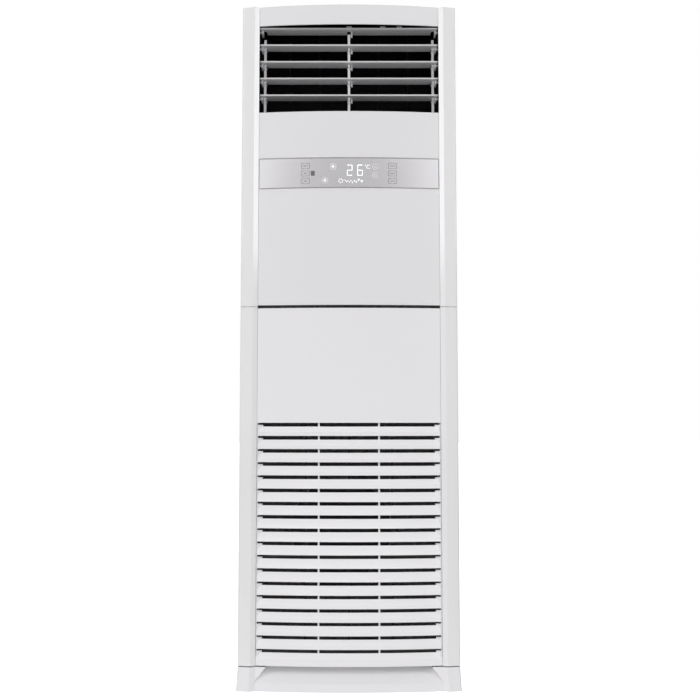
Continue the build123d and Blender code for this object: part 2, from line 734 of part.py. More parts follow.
for index, vane_x in enumerate(vane_places):
    drives = vane_x == 0
    pin_low = frame_bottom - (motor_socket - 1 if drives else -0.3)
    with BuildPart() as vane:
        with Locations((vane_x, vane_pivot_y, vane_low)):
            Box(vane_wall, vane_chord, vane_high - vane_low, align=(Align.CENTER, Align.CENTER, Align.MIN))
        with Locations((vane_x, vane_pivot_y + vane_chord / 2 - vane_notch_depth, vane_notch_low)):
            Box(2 * vane_wall, vane_chord, vane_notch_height, align=(Align.CENTER, Align.MIN, Align.MIN),
                mode=Mode.SUBTRACT)
        with Locations((vane_x, vane_pivot_y + vane_link_setback, vane_notch_low - 1)):
            Cylinder(link_pin_radius, vane_notch_height + 2, align=(Align.CENTER, Align.CENTER, Align.MIN))
        with Locations((vane_x, vane_pivot_y, pin_low)):
            Cylinder(vane_pin_radius, vane_notch_low - pin_low - 2,
                     align=(Align.CENTER, Align.CENTER, Align.MIN))
        with Locations((vane_x, vane_pivot_y, vane_high - vane_pin_root)):
            Cylinder(vane_pin_radius, frame_top - vane_high + vane_pin_root - 0.3,
                     align=(Align.CENTER, Align.CENTER, Align.MIN))
    vane.part.label = f"vane_{index + 1}"
    export_step(vane.part, f"parts/vane_{index + 1}.step")

with BuildPart() as vane_link:
    with Locations((0, vane_pivot_y + vane_link_setback, vane_notch_low + vane_notch_height / 2)):
        Box((vane_count - 1) * vane_pitch + 16, bar_width, bar_thick)
    with Locations(*[(x, vane_pivot_y + vane_link_setback, vane_notch_low + 6) for x in vane_places]):
        Cylinder(link_pin_radius + pin_clearance, 3 * bar_thick, mode=Mode.SUBTRACT)
    uprights = vane_link.edges().filter_by(Axis.Z)
    fillet(uprights.filter_by(lambda e: abs(e.center().X) > vane_places[-1] + 6), radius=3)

vane_link.part.label = "vane_link"
export_step(vane_link.part, "parts/vane_link.step")

with BuildPart() as swing_motor:
    with Locations((0, vane_pivot_y, frame_bottom)):
        Cylinder(swing_motor_radius, swing_motor_height, align=(Align.CENTER, Align.CENTER, Align.MAX))
        Box(2 * swing_motor_radius + 16, 8, 2, align=(Align.CENTER, Align.CENTER, Align.MAX))
        Cylinder(vane_pin_radius + pin_clearance, motor_socket,
                 align=(Align.CENTER, Align.CENTER, Align.MAX), mode=Mode.SUBTRACT)

swing_motor.part.label = "swing_motor"
export_step(swing_motor.part, "parts/swing_motor.step")

# ---------------------------------------------------------------- air duct
duct_front_low = seat_y + 2.0
duct_front_high = vane_pivot_y + swing_motor_radius + 2
duct_back = rear_flange_y - 10.6
duct_top = cover_seat - 14.0
duct_knee_low = 1000.0
duct_knee_high = 1080.0
turn_radius = 120.0
pipe_place_x = duct_half + 28.0
pipe_level = 930.0
gas_y = back_y - 98.0
liquid_y = back_y - 133.0
pipe_radii = {gas_y: gas_pipe_radius, liquid_y: liquid_pipe_radius}

with BuildPart() as air_duct:
    with BuildSketch(Plane.YZ):
        add(polygon((duct_front_low, partition_z + 2), (duct_front_low, duct_knee_low),
                    (duct_front_high, duct_knee_high), (duct_front_high, duct_top),
                    (duct_back, duct_top), (duct_back, partition_z + 2)))
    extrude(amount=duct_half + duct_wall, both=True)
    with BuildSketch(Plane.YZ) as hollow:
        add(polygon((duct_front_low + duct_wall, partition_z - 5),
                    (duct_front_low + duct_wall, duct_knee_low),
                    (duct_front_high + duct_wall, duct_knee_high),
                    (duct_front_high + duct_wall, duct_top - duct_wall),
                    (duct_back - duct_wall, duct_top - duct_wall), (duct_back - duct_wall, partition_z - 5)))
        fillet(hollow.vertices().sort_by_distance((duct_back, duct_top))[0], radius=turn_radius)
    extrude(amount=duct_half, both=True, mode=Mode.SUBTRACT)
    with Locations((0, duct_front_high, (frame_bottom + frame_top) / 2)):
        Box(2 * duct_half, 4 * duct_wall, frame_top - frame_bottom + 0.4, mode=Mode.SUBTRACT)
    for pipe_y, pipe_radius in pipe_radii.items():
        with Locations((duct_half + duct_wall / 2, pipe_y, pipe_level)):
            Cylinder(pipe_radius + pipe_clearance, 2 * duct_wall, rotation=along_x, mode=Mode.SUBTRACT)

air_duct.part.label = "air_duct"
export_step(air_duct.part, "parts/air_duct.step")

# ---------------------------------------------------------------- partition between blower and coil
throat_radius = 20.0
scroll_step = 22.0
scroll_first = wheel_radius + 18.0 + scroll_step / 2
scroll_front = seat_y
scroll_depth = 170.0
scroll_start = (wheel_x - scroll_step / 2, wheel_z - scroll_step / 2)
throat_x = scroll_start[0] + throat_radius
scroll_right = scroll_start[0] + scroll_step + scroll_first + 2 * scroll_step
opening_x = (throat_x + scroll_right) / 2
opening_width = scroll_right - throat_x - 8
opening_y = scroll_front + scroll_depth / 2 + 4
opening_depth = scroll_depth - 28
drain_y = duct_back - 65.0

with BuildPart() as partition_plate:
    with BuildSketch(Plane.XY.offset(partition_z)):
        with Locations((0, (seat_y + rear_flange_y) / 2)):
            Rectangle(2 * side_inner, rear_flange_y - seat_y - 2 * (sheet + sheet_corner))
        with Locations((opening_x, opening_y)):
            Rectangle(opening_width, opening_depth, mode=Mode.SUBTRACT)
        for pipe_y, pipe_radius in pipe_radii.items():
            with Locations((pipe_place_x, pipe_y)):
                Circle(pipe_radius + pipe_clearance, mode=Mode.SUBTRACT)
        with Locations((drain_x, drain_y)):
            Circle(drain_radius + pipe_clearance, mode=Mode.SUBTRACT)
    extrude(amount=2)

partition_plate.part.label = "partition_plate"
export_step(partition_plate.part, "parts/partition_plate.step")

# ---------------------------------------------------------------- evaporator coil, drain pan and drain
coil_room = 200.0        # left free above and below the coil, in all
coil_sink = 62.0         # how far the coil hangs below the middle of its space
coil_z = (outlet_bottom + partition_z) / 2 - coil_sink
coil_length = outlet_bottom - partition_z - coil_room
coil_width = 2 * (duct_half - coil_side_gap)
coil_tubes_per_row = round(coil_length / coil_tube_spacing)
coil_tube_pitch = coil_length / (coil_tubes_per_row + 0.5)
coil_y = (duct_front_high + duct_back) / 2 - 10.3
coil_lean = duct_back - duct_front_high - 101.8     # how far the coil's top stands ahead of its bottom
coil_tilt = math.degrees(math.asin(coil_lean / coil_length))
coil_plane = Plane(origin=(0, coil_y, coil_z), x_dir=(1, 0, 0),
                   z_dir=(0, -math.cos(math.radians(coil_tilt)), -math.sin(math.radians(coil_tilt))))
tube_row_offset = 11.0
plate_extra = 6.0
tube_places = [(row, (index - (coil_tubes_per_row - 1) / 2) * coil_tube_pitch)
               for row in (-tube_row_offset, tube_row_offset) for index in range(coil_tubes_per_row)]
tube_hole = coil_tube_radius + pin_clearance

with BuildPart(coil_plane) as evaporator_fins:
    Box(coil_width, coil_length, coil_thickness)
    with Locations(*[(0, along, row) for row, along in tube_places]):
        Cylinder(tube_hole, coil_width + 10, rotation=along_x, mode=Mode.SUBTRACT)

evaporator_fins.part.label = "evaporator_fins"
export_step(evaporator_fins.part, "parts/evaporator_fins.step")

with BuildPart(coil_plane) as coil_end_plates:
    for side in (-1, 1):
        with Locations((side * (coil_width / 2 + 1), 0, 0)):
            Box(2, coil_length, coil_thickness + 2 * plate_extra)
        with Locations((side * (coil_width / 2 + duct_half) / 2, 0, coil_thickness / 2 + plate_extra - 1)):
            Box(duct_half - coil_width / 2, coil_length - 40, 2)
    with Locations(*[(0, along, row) for row, along in tube_places]):
        Cylinder(tube_hole, 2 * duct_half, rotation=along_x, mode=Mode.SUBTRACT)

coil_end_plates.part.label = "coil_end_plates"
export_step(coil_end_plates.part, "parts/coil_end_plates.step")

straight = coil_width / 2 + 3
with BuildPart(coil_plane) as evaporator_tubes:
    with Locations(*[(0, along, row) for row, along in tube_places]):
        Cylinder(coil_tube_radius, 2 * straight, rotation=along_x)
    for place, (row, along) in enumerate(tube_places[:-1]):
        step = place % coil_tubes_per_row
        if step == coil_tubes_per_row - 1:
            continue
        side = 1 if (step % 2 == 0) == (row > 0) else -1
        bend_plane = coil_plane.offset(row)
        with BuildLine(bend_plane):
            bend = CenterArc((side * straight, along + coil_tube_pitch / 2), coil_tube_pitch / 2,
                             -90 * side, 180)
        with BuildSketch(Plane(origin=bend @ 0, z_dir=bend % 0)):
            Circle(coil_tube_radius)
        sweep(path=bend)

evaporator_tubes.part.label = "evaporator_tubes"
export_step(evaporator_tubes.part, "parts/evaporator_tubes.step")

pan_front = duct_back - 109.0
pan_back = duct_back - duct_wall - 0.3
pan_height = 40.0
pan_wall = 2.0
pan_z = partition_z + 2

with BuildPart() as drain_pan:
    with Locations((0, (pan_front + pan_back) / 2, pan_z)):
        Box(2 * duct_half - 0.6, pan_back - pan_front, pan_height,
            align=(Align.CENTER, Align.CENTER, Align.MIN))
    with Locations((0, (pan_front + pan_back) / 2, pan_z + pan_wall)):
        Box(2 * (duct_half - pan_wall), pan_back - pan_front - 2 * pan_wall, pan_height,
            align=(Align.CENTER, Align.CENTER, Align.MIN), mode=Mode.SUBTRACT)
    with Locations((drain_x, drain_y, pan_z + 1)):
        Cylinder(drain_radius - 2, 10, mode=Mode.SUBTRACT)

drain_pan.part.label = "drain_pan"
export_step(drain_pan.part, "parts/drain_pan.step")

pipe_end_y = rear_flange_y - 9.0

with BuildPart() as drain_pipe:
    with BuildLine() as drain_route:
        FilletPolyline((drain_x, drain_y, pan_z), (drain_x, drain_y, drain_z),
                       (drain_x, pipe_end_y, drain_z), radius=pipe_bend)
    with BuildSketch(Plane(origin=(drain_x, drain_y, pan_z), z_dir=(0, 0, -1))):
        Circle(drain_radius)
        Circle(drain_radius - 2, mode=Mode.SUBTRACT)
    sweep(path=drain_route.wires()[0])

drain_pipe.part.label = "drain_pipe"
export_step(drain_pipe.part, "parts/drain_pipe.step")

# ---------------------------------------------------------------- refrigerant pipes
gas_end_x = pipe_window_x + 32.0
liquid_end_x = pipe_window_x - 18.0
pipe_start_x = duct_half - 1.0
pipe_turn = 14.0

with BuildPart() as gas_pipe:
    with BuildLine() as gas_route:
        FilletPolyline((pipe_start_x, gas_y, pipe_level), (pipe_place_x, gas_y, pipe_level),
                       (pipe_place_x, gas_y, pipe_window_z), (gas_end_x, gas_y, pipe_window_z),
                       (gas_end_x, pipe_end_y, pipe_window_z), radius=pipe_turn)
    with BuildSketch(Plane(origin=gas_route.line @ 0, z_dir=(1, 0, 0))):
        Circle(gas_pipe_radius)
        Circle(gas_pipe_radius - 1, mode=Mode.SUBTRACT)
    sweep(path=gas_route.wires()[0])

gas_pipe.part.label = "gas_pipe"
export_step(gas_pipe.part, "parts/gas_pipe.step")

with BuildPart() as liquid_pipe:
    with BuildLine() as liquid_route:
        FilletPolyline((pipe_start_x, liquid_y, pipe_level), (pipe_place_x, liquid_y, pipe_level),
                       (pipe_place_x, liquid_y, pipe_window_z), (liquid_end_x, liquid_y, pipe_window_z),
                       (liquid_end_x, pipe_end_y, pipe_window_z), radius=pipe_turn)
    with BuildSketch(Plane(origin=liquid_route.line @ 0, z_dir=(1, 0, 0))):
        Circle(liquid_pipe_radius)
        Circle(liquid_pipe_radius - 1, mode=Mode.SUBTRACT)
    sweep(path=liquid_route.wires()[0])

liquid_pipe.part.label = "liquid_pipe"
export_step(liquid_pipe.part, "parts/liquid_pipe.step")

# ---------------------------------------------------------------- blower
orifice_sheet = 1.4
orifice_y = seat_y - orifice_sheet
mouth_collar = 8.0
orifice_half = body_half - trim_lip - wall - 1.5
orifice_low = 92.0
filter_back_y = seat_y - 55.0
filter_half = panel_half - 9.5
filter_low = 100.0
filter_high = 748.0
rim_wall = 2.0

with BuildPart() as orifice_plate:
    with BuildSketch(Plane.XZ.offset(-orifice_y)):
        with Locations((0, (orifice_low + partition_z) / 2)):
            Rectangle(2 * orifice_half, partition_z - orifice_low)
        with Locations((wheel_x, wheel_z)):
            Circle(mouth_radius + mouth_lip, mode=Mode.SUBTRACT)
    extrude(amount=-orifice_sheet)
    with BuildSketch(Plane.XZ.offset(-orifice_y)):
        with Locations((0, (filter_low + filter_high) / 2)):
            Rectangle(2 * filter_half, filter_high - filter_low)
            Rectangle(2 * (filter_half - rim_wall), filter_high - filter_low - 2 * rim_wall,
                      mode=Mode.SUBTRACT)
    extrude(amount=orifice_y - filter_back_y)
    lip_y = orifice_y + mouth_lip
    lip_z = wheel_z + mouth_radius + mouth_lip
    with BuildSketch(Plane.YZ.offset(wheel_x)):
        with BuildLine():
            outer_lip = RadiusArc((orifice_y, lip_z), (lip_y, lip_z - mouth_lip), mouth_lip)
            inner_lip = RadiusArc((orifice_y + orifice_sheet, lip_z),
                                  (lip_y, lip_z - mouth_lip + orifice_sheet), mouth_lip - orifice_sheet)
            Polyline(outer_lip @ 1, (lip_y + mouth_collar, lip_z - mouth_lip),
                     (lip_y + mouth_collar, lip_z - mouth_lip + orifice_sheet), inner_lip @ 1)
            Line(outer_lip @ 0, inner_lip @ 0)
        make_face()
    revolve(axis=Axis((wheel_x, 0, wheel_z), (0, 1, 0)))

orifice_plate.part.label = "orifice_plate"
export_step(orifice_plate.part, "parts/orifice_plate.step")


def scroll_plan(inward):
    """Outline of the spiral housing, a wall's thickness in from its outside."""
    first = scroll_first - inward
    centre_two = (scroll_start[0] + scroll_step, scroll_start[1])
    centre_three = (centre_two[0], centre_two[1] + scroll_step)
    with BuildSketch() as plan:
        with BuildLine():
            top = CenterArc(scroll_start, first, 90, 90)
            left = CenterArc(centre_two, first + scroll_step, 180, 90)
            low = CenterArc(centre_three, first + 2 * scroll_step, 270, 90)
            throat = throat_x + inward
            tongue = RadiusArc((throat, scroll_start[1] + first + throat_radius), top @ 0,
                               throat_radius + inward)
            high = partition_z + (5 if inward else 0)
            Polyline(low @ 1, (scroll_right - inward, high), (throat, high), tongue @ 0)
        make_face()
    return plan.sketch


scroll_wall = 1.5

with BuildPart() as blower_scroll:
    with BuildSketch(Plane.XZ.offset(-scroll_front)):
        add(scroll_plan(0))
    extrude(amount=-scroll_depth)
    with BuildSketch(Plane.XZ.offset(-(scroll_front + scroll_wall))):
        add(scroll_plan(scroll_wall))
    extrude(amount=-(scroll_depth - 2 * scroll_wall), mode=Mode.SUBTRACT)
    with Locations((wheel_x, scroll_front, wheel_z)):
        Cylinder(mouth_radius + mouth_lip + 1, 20, rotation=along_y, mode=Mode.SUBTRACT)
    with Locations((wheel_x, scroll_front + scroll_depth, wheel_z)):
        Cylinder(motor_radius + 2, 20, rotation=along_y, mode=Mode.SUBTRACT)

blower_scroll.part.label = "blower_scroll"
export_step(blower_scroll.part, "parts/blower_scroll.step")

wheel_front = seat_y + 26.0
wheel_back = wheel_front + wheel_depth
hub_radius = 22.0
hub_length = 46.0
blade_inner = wheel_radius - 32
wheel_wall = 2.0
axle_clearance = 0.02

with BuildPart() as blower_wheel:
    with BuildSketch(Plane.XZ.offset(-wheel_front)):
        with Locations((wheel_x, wheel_z)):
            Circle(wheel_radius + 1)
            Circle(blade_inner - 2, mode=Mode.SUBTRACT)
    extrude(amount=-wheel_wall)
    with BuildSketch(Plane.XZ.offset(-wheel_back)):
        with Locations((wheel_x, wheel_z)):
            Circle(wheel_radius + 1)
    extrude(amount=wheel_wall)
    with BuildSketch(Plane.XZ.offset(-wheel_front)):
        with Locations((wheel_x, wheel_z)):
            with PolarLocations((wheel_radius + blade_inner) / 2, blade_count):
                Rectangle(wheel_radius - blade_inner + 4, 1.6, rotation=38)
    extrude(amount=-wheel_depth)
    with Locations((wheel_x, wheel_back, wheel_z)):
        Cylinder(hub_radius, hub_length, rotation=along_y, align=(Align.CENTER, Align.CENTER, Align.MAX))
        Cylinder(shaft_radius + axle_clearance, 3 * hub_length, rotation=along_y, mode=Mode.SUBTRACT)

blower_wheel.part.label = "blower_wheel"
export_step(blower_wheel.part, "parts/blower_wheel.step")

motor_front = scroll_front + scroll_depth + 4
motor_back = motor_front + motor_length
shaft_front = wheel_back - hub_length - 8

with BuildPart() as motor_shaft:
    with Locations((wheel_x, shaft_front, wheel_z)):
        Cylinder(shaft_radius, motor_back - 4 - shaft_front, rotation=along_y,
                 align=(Align.CENTER, Align.CENTER, Align.MIN))
    chamfer(motor_shaft.edges().group_by(Axis.Y)[0], length=1)

motor_shaft.part.label = "motor_shaft"
export_step(motor_shaft.part, "parts/motor_shaft.step")

with BuildPart() as fan_motor:
    with Locations((wheel_x, motor_front, wheel_z)):
        Cylinder(motor_radius, motor_length, rotation=along_y,
                 align=(Align.CENTER, Align.CENTER, Align.MIN))
        Cylinder(24, 4, rotation=along_y, align=(Align.CENTER, Align.CENTER, Align.MAX))
    rims = fan_motor.edges().filter_by(GeomType.CIRCLE).filter_by(lambda e: e.radius > motor_radius - 1)
    fillet(rims, radius=8)
    with Locations((wheel_x, motor_back - 3, wheel_z)):
        Cylinder(shaft_radius + pin_clearance, 2 * motor_length, rotation=along_y,
                 align=(Align.CENTER, Align.CENTER, Align.MAX), mode=Mode.SUBTRACT)

fan_motor.part.label = "fan_motor"
export_step(fan_motor.part, "parts/fan_motor.step")

bracket_half = 90.0
bracket_sheet = 2.0
bracket_foot = 50.0
bracket_rise = 10.0
bracket_overlap = 6.0
bracket_top = wheel_z + motor_radius + bracket_rise

with BuildPart() as motor_bracket:
    with Locations((wheel_x, motor_back, tray_sheet)):
        Box(2 * bracket_half, bracket_sheet, bracket_top - tray_sheet,
            align=(Align.CENTER, Align.MIN, Align.MIN))
        Box(2 * bracket_half, bracket_foot, bracket_sheet, align=(Align.CENTER, Align.MIN, Align.MIN))
    for side in (-1, 1):
        cheek_x = wheel_x + side * (bracket_half - bracket_sheet / 2)
        with Locations((cheek_x, motor_back + bracket_sheet, tray_sheet)):
            Box(bracket_sheet, motor_length + bracket_overlap, bracket_top - tray_sheet,
                align=(Align.CENTER, Align.MAX, Align.MIN))

motor_bracket.part.label = "motor_bracket"
export_step(motor_bracket.part, "parts/motor_bracket.step")

# ---------------------------------------------------------------- crossbar behind the grip slit
crossbar_flange = 18.0
crossbar_drop = 20.0
crossbar_rise = 24.0
crossbar_low = trim_split - crossbar_drop
crossbar_high = trim_split + crossbar_rise
bar_sheet = 2.0
crossbar_z = (crossbar_low + crossbar_high) / 2

with BuildPart() as front_crossbar:
    with Locations((0, crossbar_y, crossbar_z)):
        Box(2 * orifice_half, seat_y - crossbar_y, crossbar_high - crossbar_low,
            align=(Align.CENTER, Align.MIN, Align.CENTER))
    with Locations((0, crossbar_y + bar_sheet, crossbar_z)):
        Box(2 * orifice_half + 2, seat_y - crossbar_y, crossbar_high - crossbar_low - 2 * bar_sheet,
            align=(Align.CENTER, Align.MIN, Align.CENTER), mode=Mode.SUBTRACT)
    for side in (-1, 1):
        with Locations((side * (orifice_half - crossbar_flange / 2), seat_y - bar_sheet, crossbar_z)):
            Box(crossbar_flange, bar_sheet, crossbar_high - crossbar_low,
                align=(Align.CENTER, Align.MIN, Align.CENTER))

front_crossbar.part.label = "front_crossbar"
export_step(front_crossbar.part, "parts/front_crossbar.step")

# ---------------------------------------------------------------- control box, in front of the duct
box_x = -60.0
box_z = 1210.0
box_width = 320.0
box_tall = 200.0
box_back = duct_front_high
box_depth = 78.0
box_front = box_back - box_depth

with BuildPart() as control_box:
    with Locations((box_x, box_back, box_z)):
        Box(box_width, box_back - box_front, box_tall, align=(Align.CENTER, Align.MAX, Align.CENTER))
    with Locations((box_x, box_back - sheet, box_z)):
        Box(box_width - 2 * sheet, box_back - box_front, box_tall - 2 * sheet,
            align=(Align.CENTER, Align.MAX, Align.CENTER), mode=Mode.SUBTRACT)

control_box.part.label = "control_box"
export_step(control_box.part, "parts/control_box.step")

with BuildPart() as control_box_cover:
    with Locations((box_x, box_front, box_z)):
        Box(box_width + 4, sheet, box_tall + 4, align=(Align.CENTER, Align.MAX, Align.CENTER))
    with Locations((box_x, box_front + 8, box_z)):
        Box(box_width + 4, 8, box_tall + 4, align=(Align.CENTER, Align.MAX, Align.CENTER))
        Box(box_width + 0.4, 8, box_tall + 0.4, align=(Align.CENTER, Align.MAX, Align.CENTER),
            mode=Mode.SUBTRACT)

control_box_cover.part.label = "control_box_cover"
export_step(control_box_cover.part, "parts/control_box_cover.step")

main_board_offset = 40.0
main_board_x = box_x - main_board_offset
main_board_half = 105.0
main_board_tall = 160.0
box_floor = box_back - sheet
standoff = 8.0
standoff_inset = 10.0
standoff_rise = 70.0
sink_width = 46.0
sink_depth = 34.0
sink_tall = 40.0
reactor_radius = 13.0
reactor_reach = 36.0

with BuildPart() as main_board:
    standoff_x = main_board_half - standoff_inset
    with Locations(*[(main_board_x + across * standoff_x, box_floor, box_z + up * standoff_rise)
                     for across in (-1, 1) for up in (-1, 1)]):
        Cylinder(3, standoff, rotation=along_y, align=(Align.CENTER, Align.CENTER, Align.MAX))
    with Locations((main_board_x, box_floor - standoff + 1, box_z)):
        Box(2 * main_board_half, board_thick, main_board_tall, align=(Align.CENTER, Align.MAX, Align.CENTER))
    with Locations((main_board_x - sink_width - 14, box_floor - standoff, box_z + sink_tall - 10)):
        Box(sink_width, sink_depth, sink_tall, align=(Align.CENTER, Align.MAX, Align.CENTER))
    with Locations(*[(main_board_x + across, box_floor - standoff, box_z - 2 * reactor_radius - 4)
                     for across in (reactor_radius + 7, 3 * reactor_radius + 21)]):
        Cylinder(reactor_radius, reactor_reach, rotation=along_y,
                 align=(Align.CENTER, Align.CENTER, Align.MAX))

main_board.part.label = "main_board"
export_step(main_board.part, "parts/main_board.step")

terminal_ways = 6
terminal_pitch = 18.0
terminal_inset = 42.0
terminal_x = box_x + box_width / 2 - terminal_inset
terminal_width = 34.0
terminal_depth = 24.0
terminal_rows = [(way - (terminal_ways - 1) / 2) * terminal_pitch for way in range(terminal_ways)]

with BuildPart() as terminal_block:
    with Locations((terminal_x, box_floor, box_z)):
        Box(terminal_width, terminal_depth, terminal_ways * terminal_pitch,
            align=(Align.CENTER, Align.MAX, Align.CENTER))
    with Locations(*[(terminal_x, box_floor - terminal_depth, box_z + row) for row in terminal_rows]):
        Box(terminal_width - 6, 8, terminal_pitch - 4,
            align=(Align.CENTER, Align.MIN, Align.CENTER), mode=Mode.SUBTRACT)

terminal_block.part.label = "terminal_block"
export_step(terminal_block.part, "parts/terminal_block.step")

# ---------------------------------------------------------------- intake door
slope_rise = slot_pitch - slot_gap - slat_face
slat_half = panel_half - slat_margin
margin_inset = 4.0
stile_back = 12.5
catch_width = 16.0
slot_undercut = 6.0      # each slot's dark line runs on to the door's edge


def slat_profile(top_z, bottom_z):
    """Section of a slat: an upright face with a slope that leans back above it."""
    bend_z = top_z - slope_rise
    face = front_y + slat_wall
    return polygon((front_y, bottom_z), (front_y, bend_z), (front_y + slat_lean, top_z),
                   (face + slat_lean, top_z), (face, bend_z - slat_wall / 4), (face, bottom_z))


with BuildPart() as lower_front_panel:
    for index in range(slot_count - 1):
        slat_top = first_slot_top - index * slot_pitch - slot_gap
        with BuildSketch(Plane.YZ):
            add(slat_profile(slat_top, slat_top - slope_rise - slat_face))
    revolve(axis=bow_axis, revolution_arc=bow_turn(slat_half + 2))
    split(bisect_by=Plane.YZ.offset(slat_half), keep=Keep.BOTTOM)
    rail_top = first_slot_top - (slot_count - 1) * slot_pitch - slot_gap
    with BuildSketch(Plane.YZ):
        add(slat_profile(rail_top, door_bottom))
    revolve(axis=bow_axis, revolution_arc=bow_turn(panel_half + 2))
    split(bisect_by=Plane.YZ.offset(panel_half), keep=Keep.BOTTOM)
    end_y = bow_y(slat_half)
    flange_back = panel_end_y + panel_flange
    bevel_x = slat_half - slot_end_bevel
    with BuildSketch(Plane.XY.offset(rail_top - slope_rise)):
        add(polygon((bevel_x, end_y + stile_back - 3), (slat_half - 0.5, end_y + 1),
                    (slat_half + 1, end_y + margin_inset), (panel_half, end_y + margin_inset),
                    (panel_half, flange_back), (panel_half - wall, flange_back),
                    (panel_half - wall, end_y + stile_back), (bevel_x, end_y + stile_back)))
    extrude(amount=first_slot_top - rail_top + slope_rise + 1)
    for index in range(slot_count):
        with Locations((bevel_x - 1, end_y, first_slot_top - index * slot_pitch)):
            Box(slat_half - bevel_x + 1, stile_back + 20, slot_undercut,
                align=(Align.MIN, Align.CENTER, Align.MAX), mode=Mode.SUBTRACT)
    with BuildSketch(Plane.XY.offset(door_bottom)):
        add(bow_block(panel_half - wall, panel_half, 0.5, flange_back))
    extrude(amount=rail_top - slope_rise - door_bottom + 1)
    with BuildSketch(Plane.XY.offset(rail_top - slope_rise)):
        add(bow_strip(rib_place - rib_width / 2, rib_place + rib_width / 2, slat_lean + 1,
                      slat_lean + rib_depth))
    extrude(amount=first_slot_top - rail_top + slope_rise + 1)
    with BuildSketch(Plane.XY.offset(first_slot_top)):
        add(bow_block(panel_half - wall, panel_half, 0.5, flange_back))
    extrude(amount=door_top - first_slot_top)
    with Locations((post_x, bow_y(post_x, 1), door_top - wall - 10)):
        Box(catch_width, crossbar_y - 0.6 - bow_y(post_x, 1), wall,
            align=(Align.CENTER, Align.MIN, Align.MIN))
    with Locations((panel_half - 0.1, hinge_y, hinge_z)):
        Cylinder(hinge_pin_radius, trim_inner_x + wall - panel_half + 0.8, rotation=along_x,
                 align=(Align.CENTER, Align.CENTER, Align.MIN))
    mirror(about=Plane.YZ)
    with BuildSketch(Plane.XY.offset(first_slot_top)):
        add(bow_strip(-panel_half, panel_half, 0, wall))
    extrude(amount=door_top - first_slot_top)
    for lip_z in (first_slot_top, door_top - wall):
        with BuildSketch(Plane.XY.offset(lip_z)):
            add(bow_strip(-panel_half, panel_half, 0, panel_flange - wall))
        extrude(amount=wall)

lower_front_panel.part.label = "lower_front_panel"
export_step(lower_front_panel.part, "parts/lower_front_panel.step")

# ---------------------------------------------------------------- air filter
filter_frame_depth = 8.0
filter_border = 12.0
filter_columns = 4
filter_rows = 5
mesh_wall = 1.0
filter_mid_z = (filter_low + filter_high) / 2
cell_x = (2 * filter_half - filter_border) / filter_columns
cell_z = (filter_high - filter_low - filter_border) / filter_rows

with BuildPart() as filter_frame:
    with BuildSketch(Plane.XZ.offset(-(filter_back_y - mesh_wall))):
        with Locations((0, filter_mid_z)):
            Rectangle(2 * filter_half, filter_high - filter_low)
            with GridLocations(cell_x, cell_z, filter_columns, filter_rows):
                Rectangle(cell_x - filter_border / 2, cell_z - filter_border / 2, mode=Mode.SUBTRACT)
    extrude(amount=filter_frame_depth)

filter_frame.part.label = "filter_frame"
export_step(filter_frame.part, "parts/filter_frame.step")

with BuildPart() as filter_mesh:
    with BuildSketch(Plane.XZ.offset(-filter_back_y)):
        with Locations((0, filter_mid_z)):
            Rectangle(2 * filter_half, filter_high - filter_low)
    extrude(amount=mesh_wall)

filter_mesh.part.label = "filter_mesh"
export_step(filter_mesh.part, "parts/filter_mesh.step")
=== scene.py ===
import bpy
import bmesh
import math
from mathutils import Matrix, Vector


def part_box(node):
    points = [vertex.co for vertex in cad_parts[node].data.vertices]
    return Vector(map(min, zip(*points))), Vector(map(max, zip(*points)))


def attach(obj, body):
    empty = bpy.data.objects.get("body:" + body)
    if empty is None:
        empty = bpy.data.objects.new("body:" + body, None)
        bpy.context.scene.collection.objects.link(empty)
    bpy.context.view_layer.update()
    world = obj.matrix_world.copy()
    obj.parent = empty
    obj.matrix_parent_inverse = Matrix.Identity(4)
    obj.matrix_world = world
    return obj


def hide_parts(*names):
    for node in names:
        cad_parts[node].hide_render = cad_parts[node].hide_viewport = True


# Floor standing air conditioner. Metres, +Z up, the bowed front faces -Y, origin on the floor.
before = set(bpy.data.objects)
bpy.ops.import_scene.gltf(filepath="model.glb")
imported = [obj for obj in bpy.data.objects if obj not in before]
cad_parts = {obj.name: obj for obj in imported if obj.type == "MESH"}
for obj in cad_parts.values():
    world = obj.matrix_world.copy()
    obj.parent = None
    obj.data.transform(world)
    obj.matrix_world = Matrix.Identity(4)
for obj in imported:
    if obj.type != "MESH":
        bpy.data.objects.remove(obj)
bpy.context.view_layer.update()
MM = 0.001

# ------------------------------------------------------------------ photographer's camera
# A low tripod, about three metres in front and level with the grille, tipped up a little so that
# the crown is in the frame. The back of the camera is dropped slightly to keep the foot in.
camera = bpy.data.objects.new("camera", bpy.data.cameras.new("camera"))
bpy.context.scene.collection.objects.link(camera)
camera.location = (0.003, -3.225, 0.746)
camera.rotation_euler = (math.radians(90 + 4.78), 0, 0)
camera.data.lens = 55.15
camera.data.sensor_width = 36.0
camera.data.shift_y = -0.03
bpy.context.scene.camera = camera
bpy.context.scene.view_settings.view_transform = "Standard"


# ------------------------------------------------------------------ tools for node trees and finishes
# Every finish is a principled shader. Its colour, gloss and relief follow patterns measured from the
# piece's own origin, whose scales are in waves or cells to the metre.
def linear(hex_colour):
    """An sRGB hex colour as the linear values that a socket takes."""
    channels = [int(hex_colour[i:i + 2], 16) / 255 for i in (1, 3, 5)]
    return tuple(c / 12.92 if c <= 0.04045 else ((c + 0.055) / 1.055) ** 2.4 for c in channels) + (1.0,)


def add_node(tree, kind, wires=None, **settings):
    """Adds a node; wires gives each input a socket to be linked from, or a value."""
    made = tree.nodes.new(kind)
    for name, value in settings.items():
        setattr(made, name, value)
    for key, value in (wires or {}).items():
        if isinstance(value, bpy.types.NodeSocket):
            tree.links.new(value, made.inputs[key])
        else:
            made.inputs[key].default_value = value
    return made


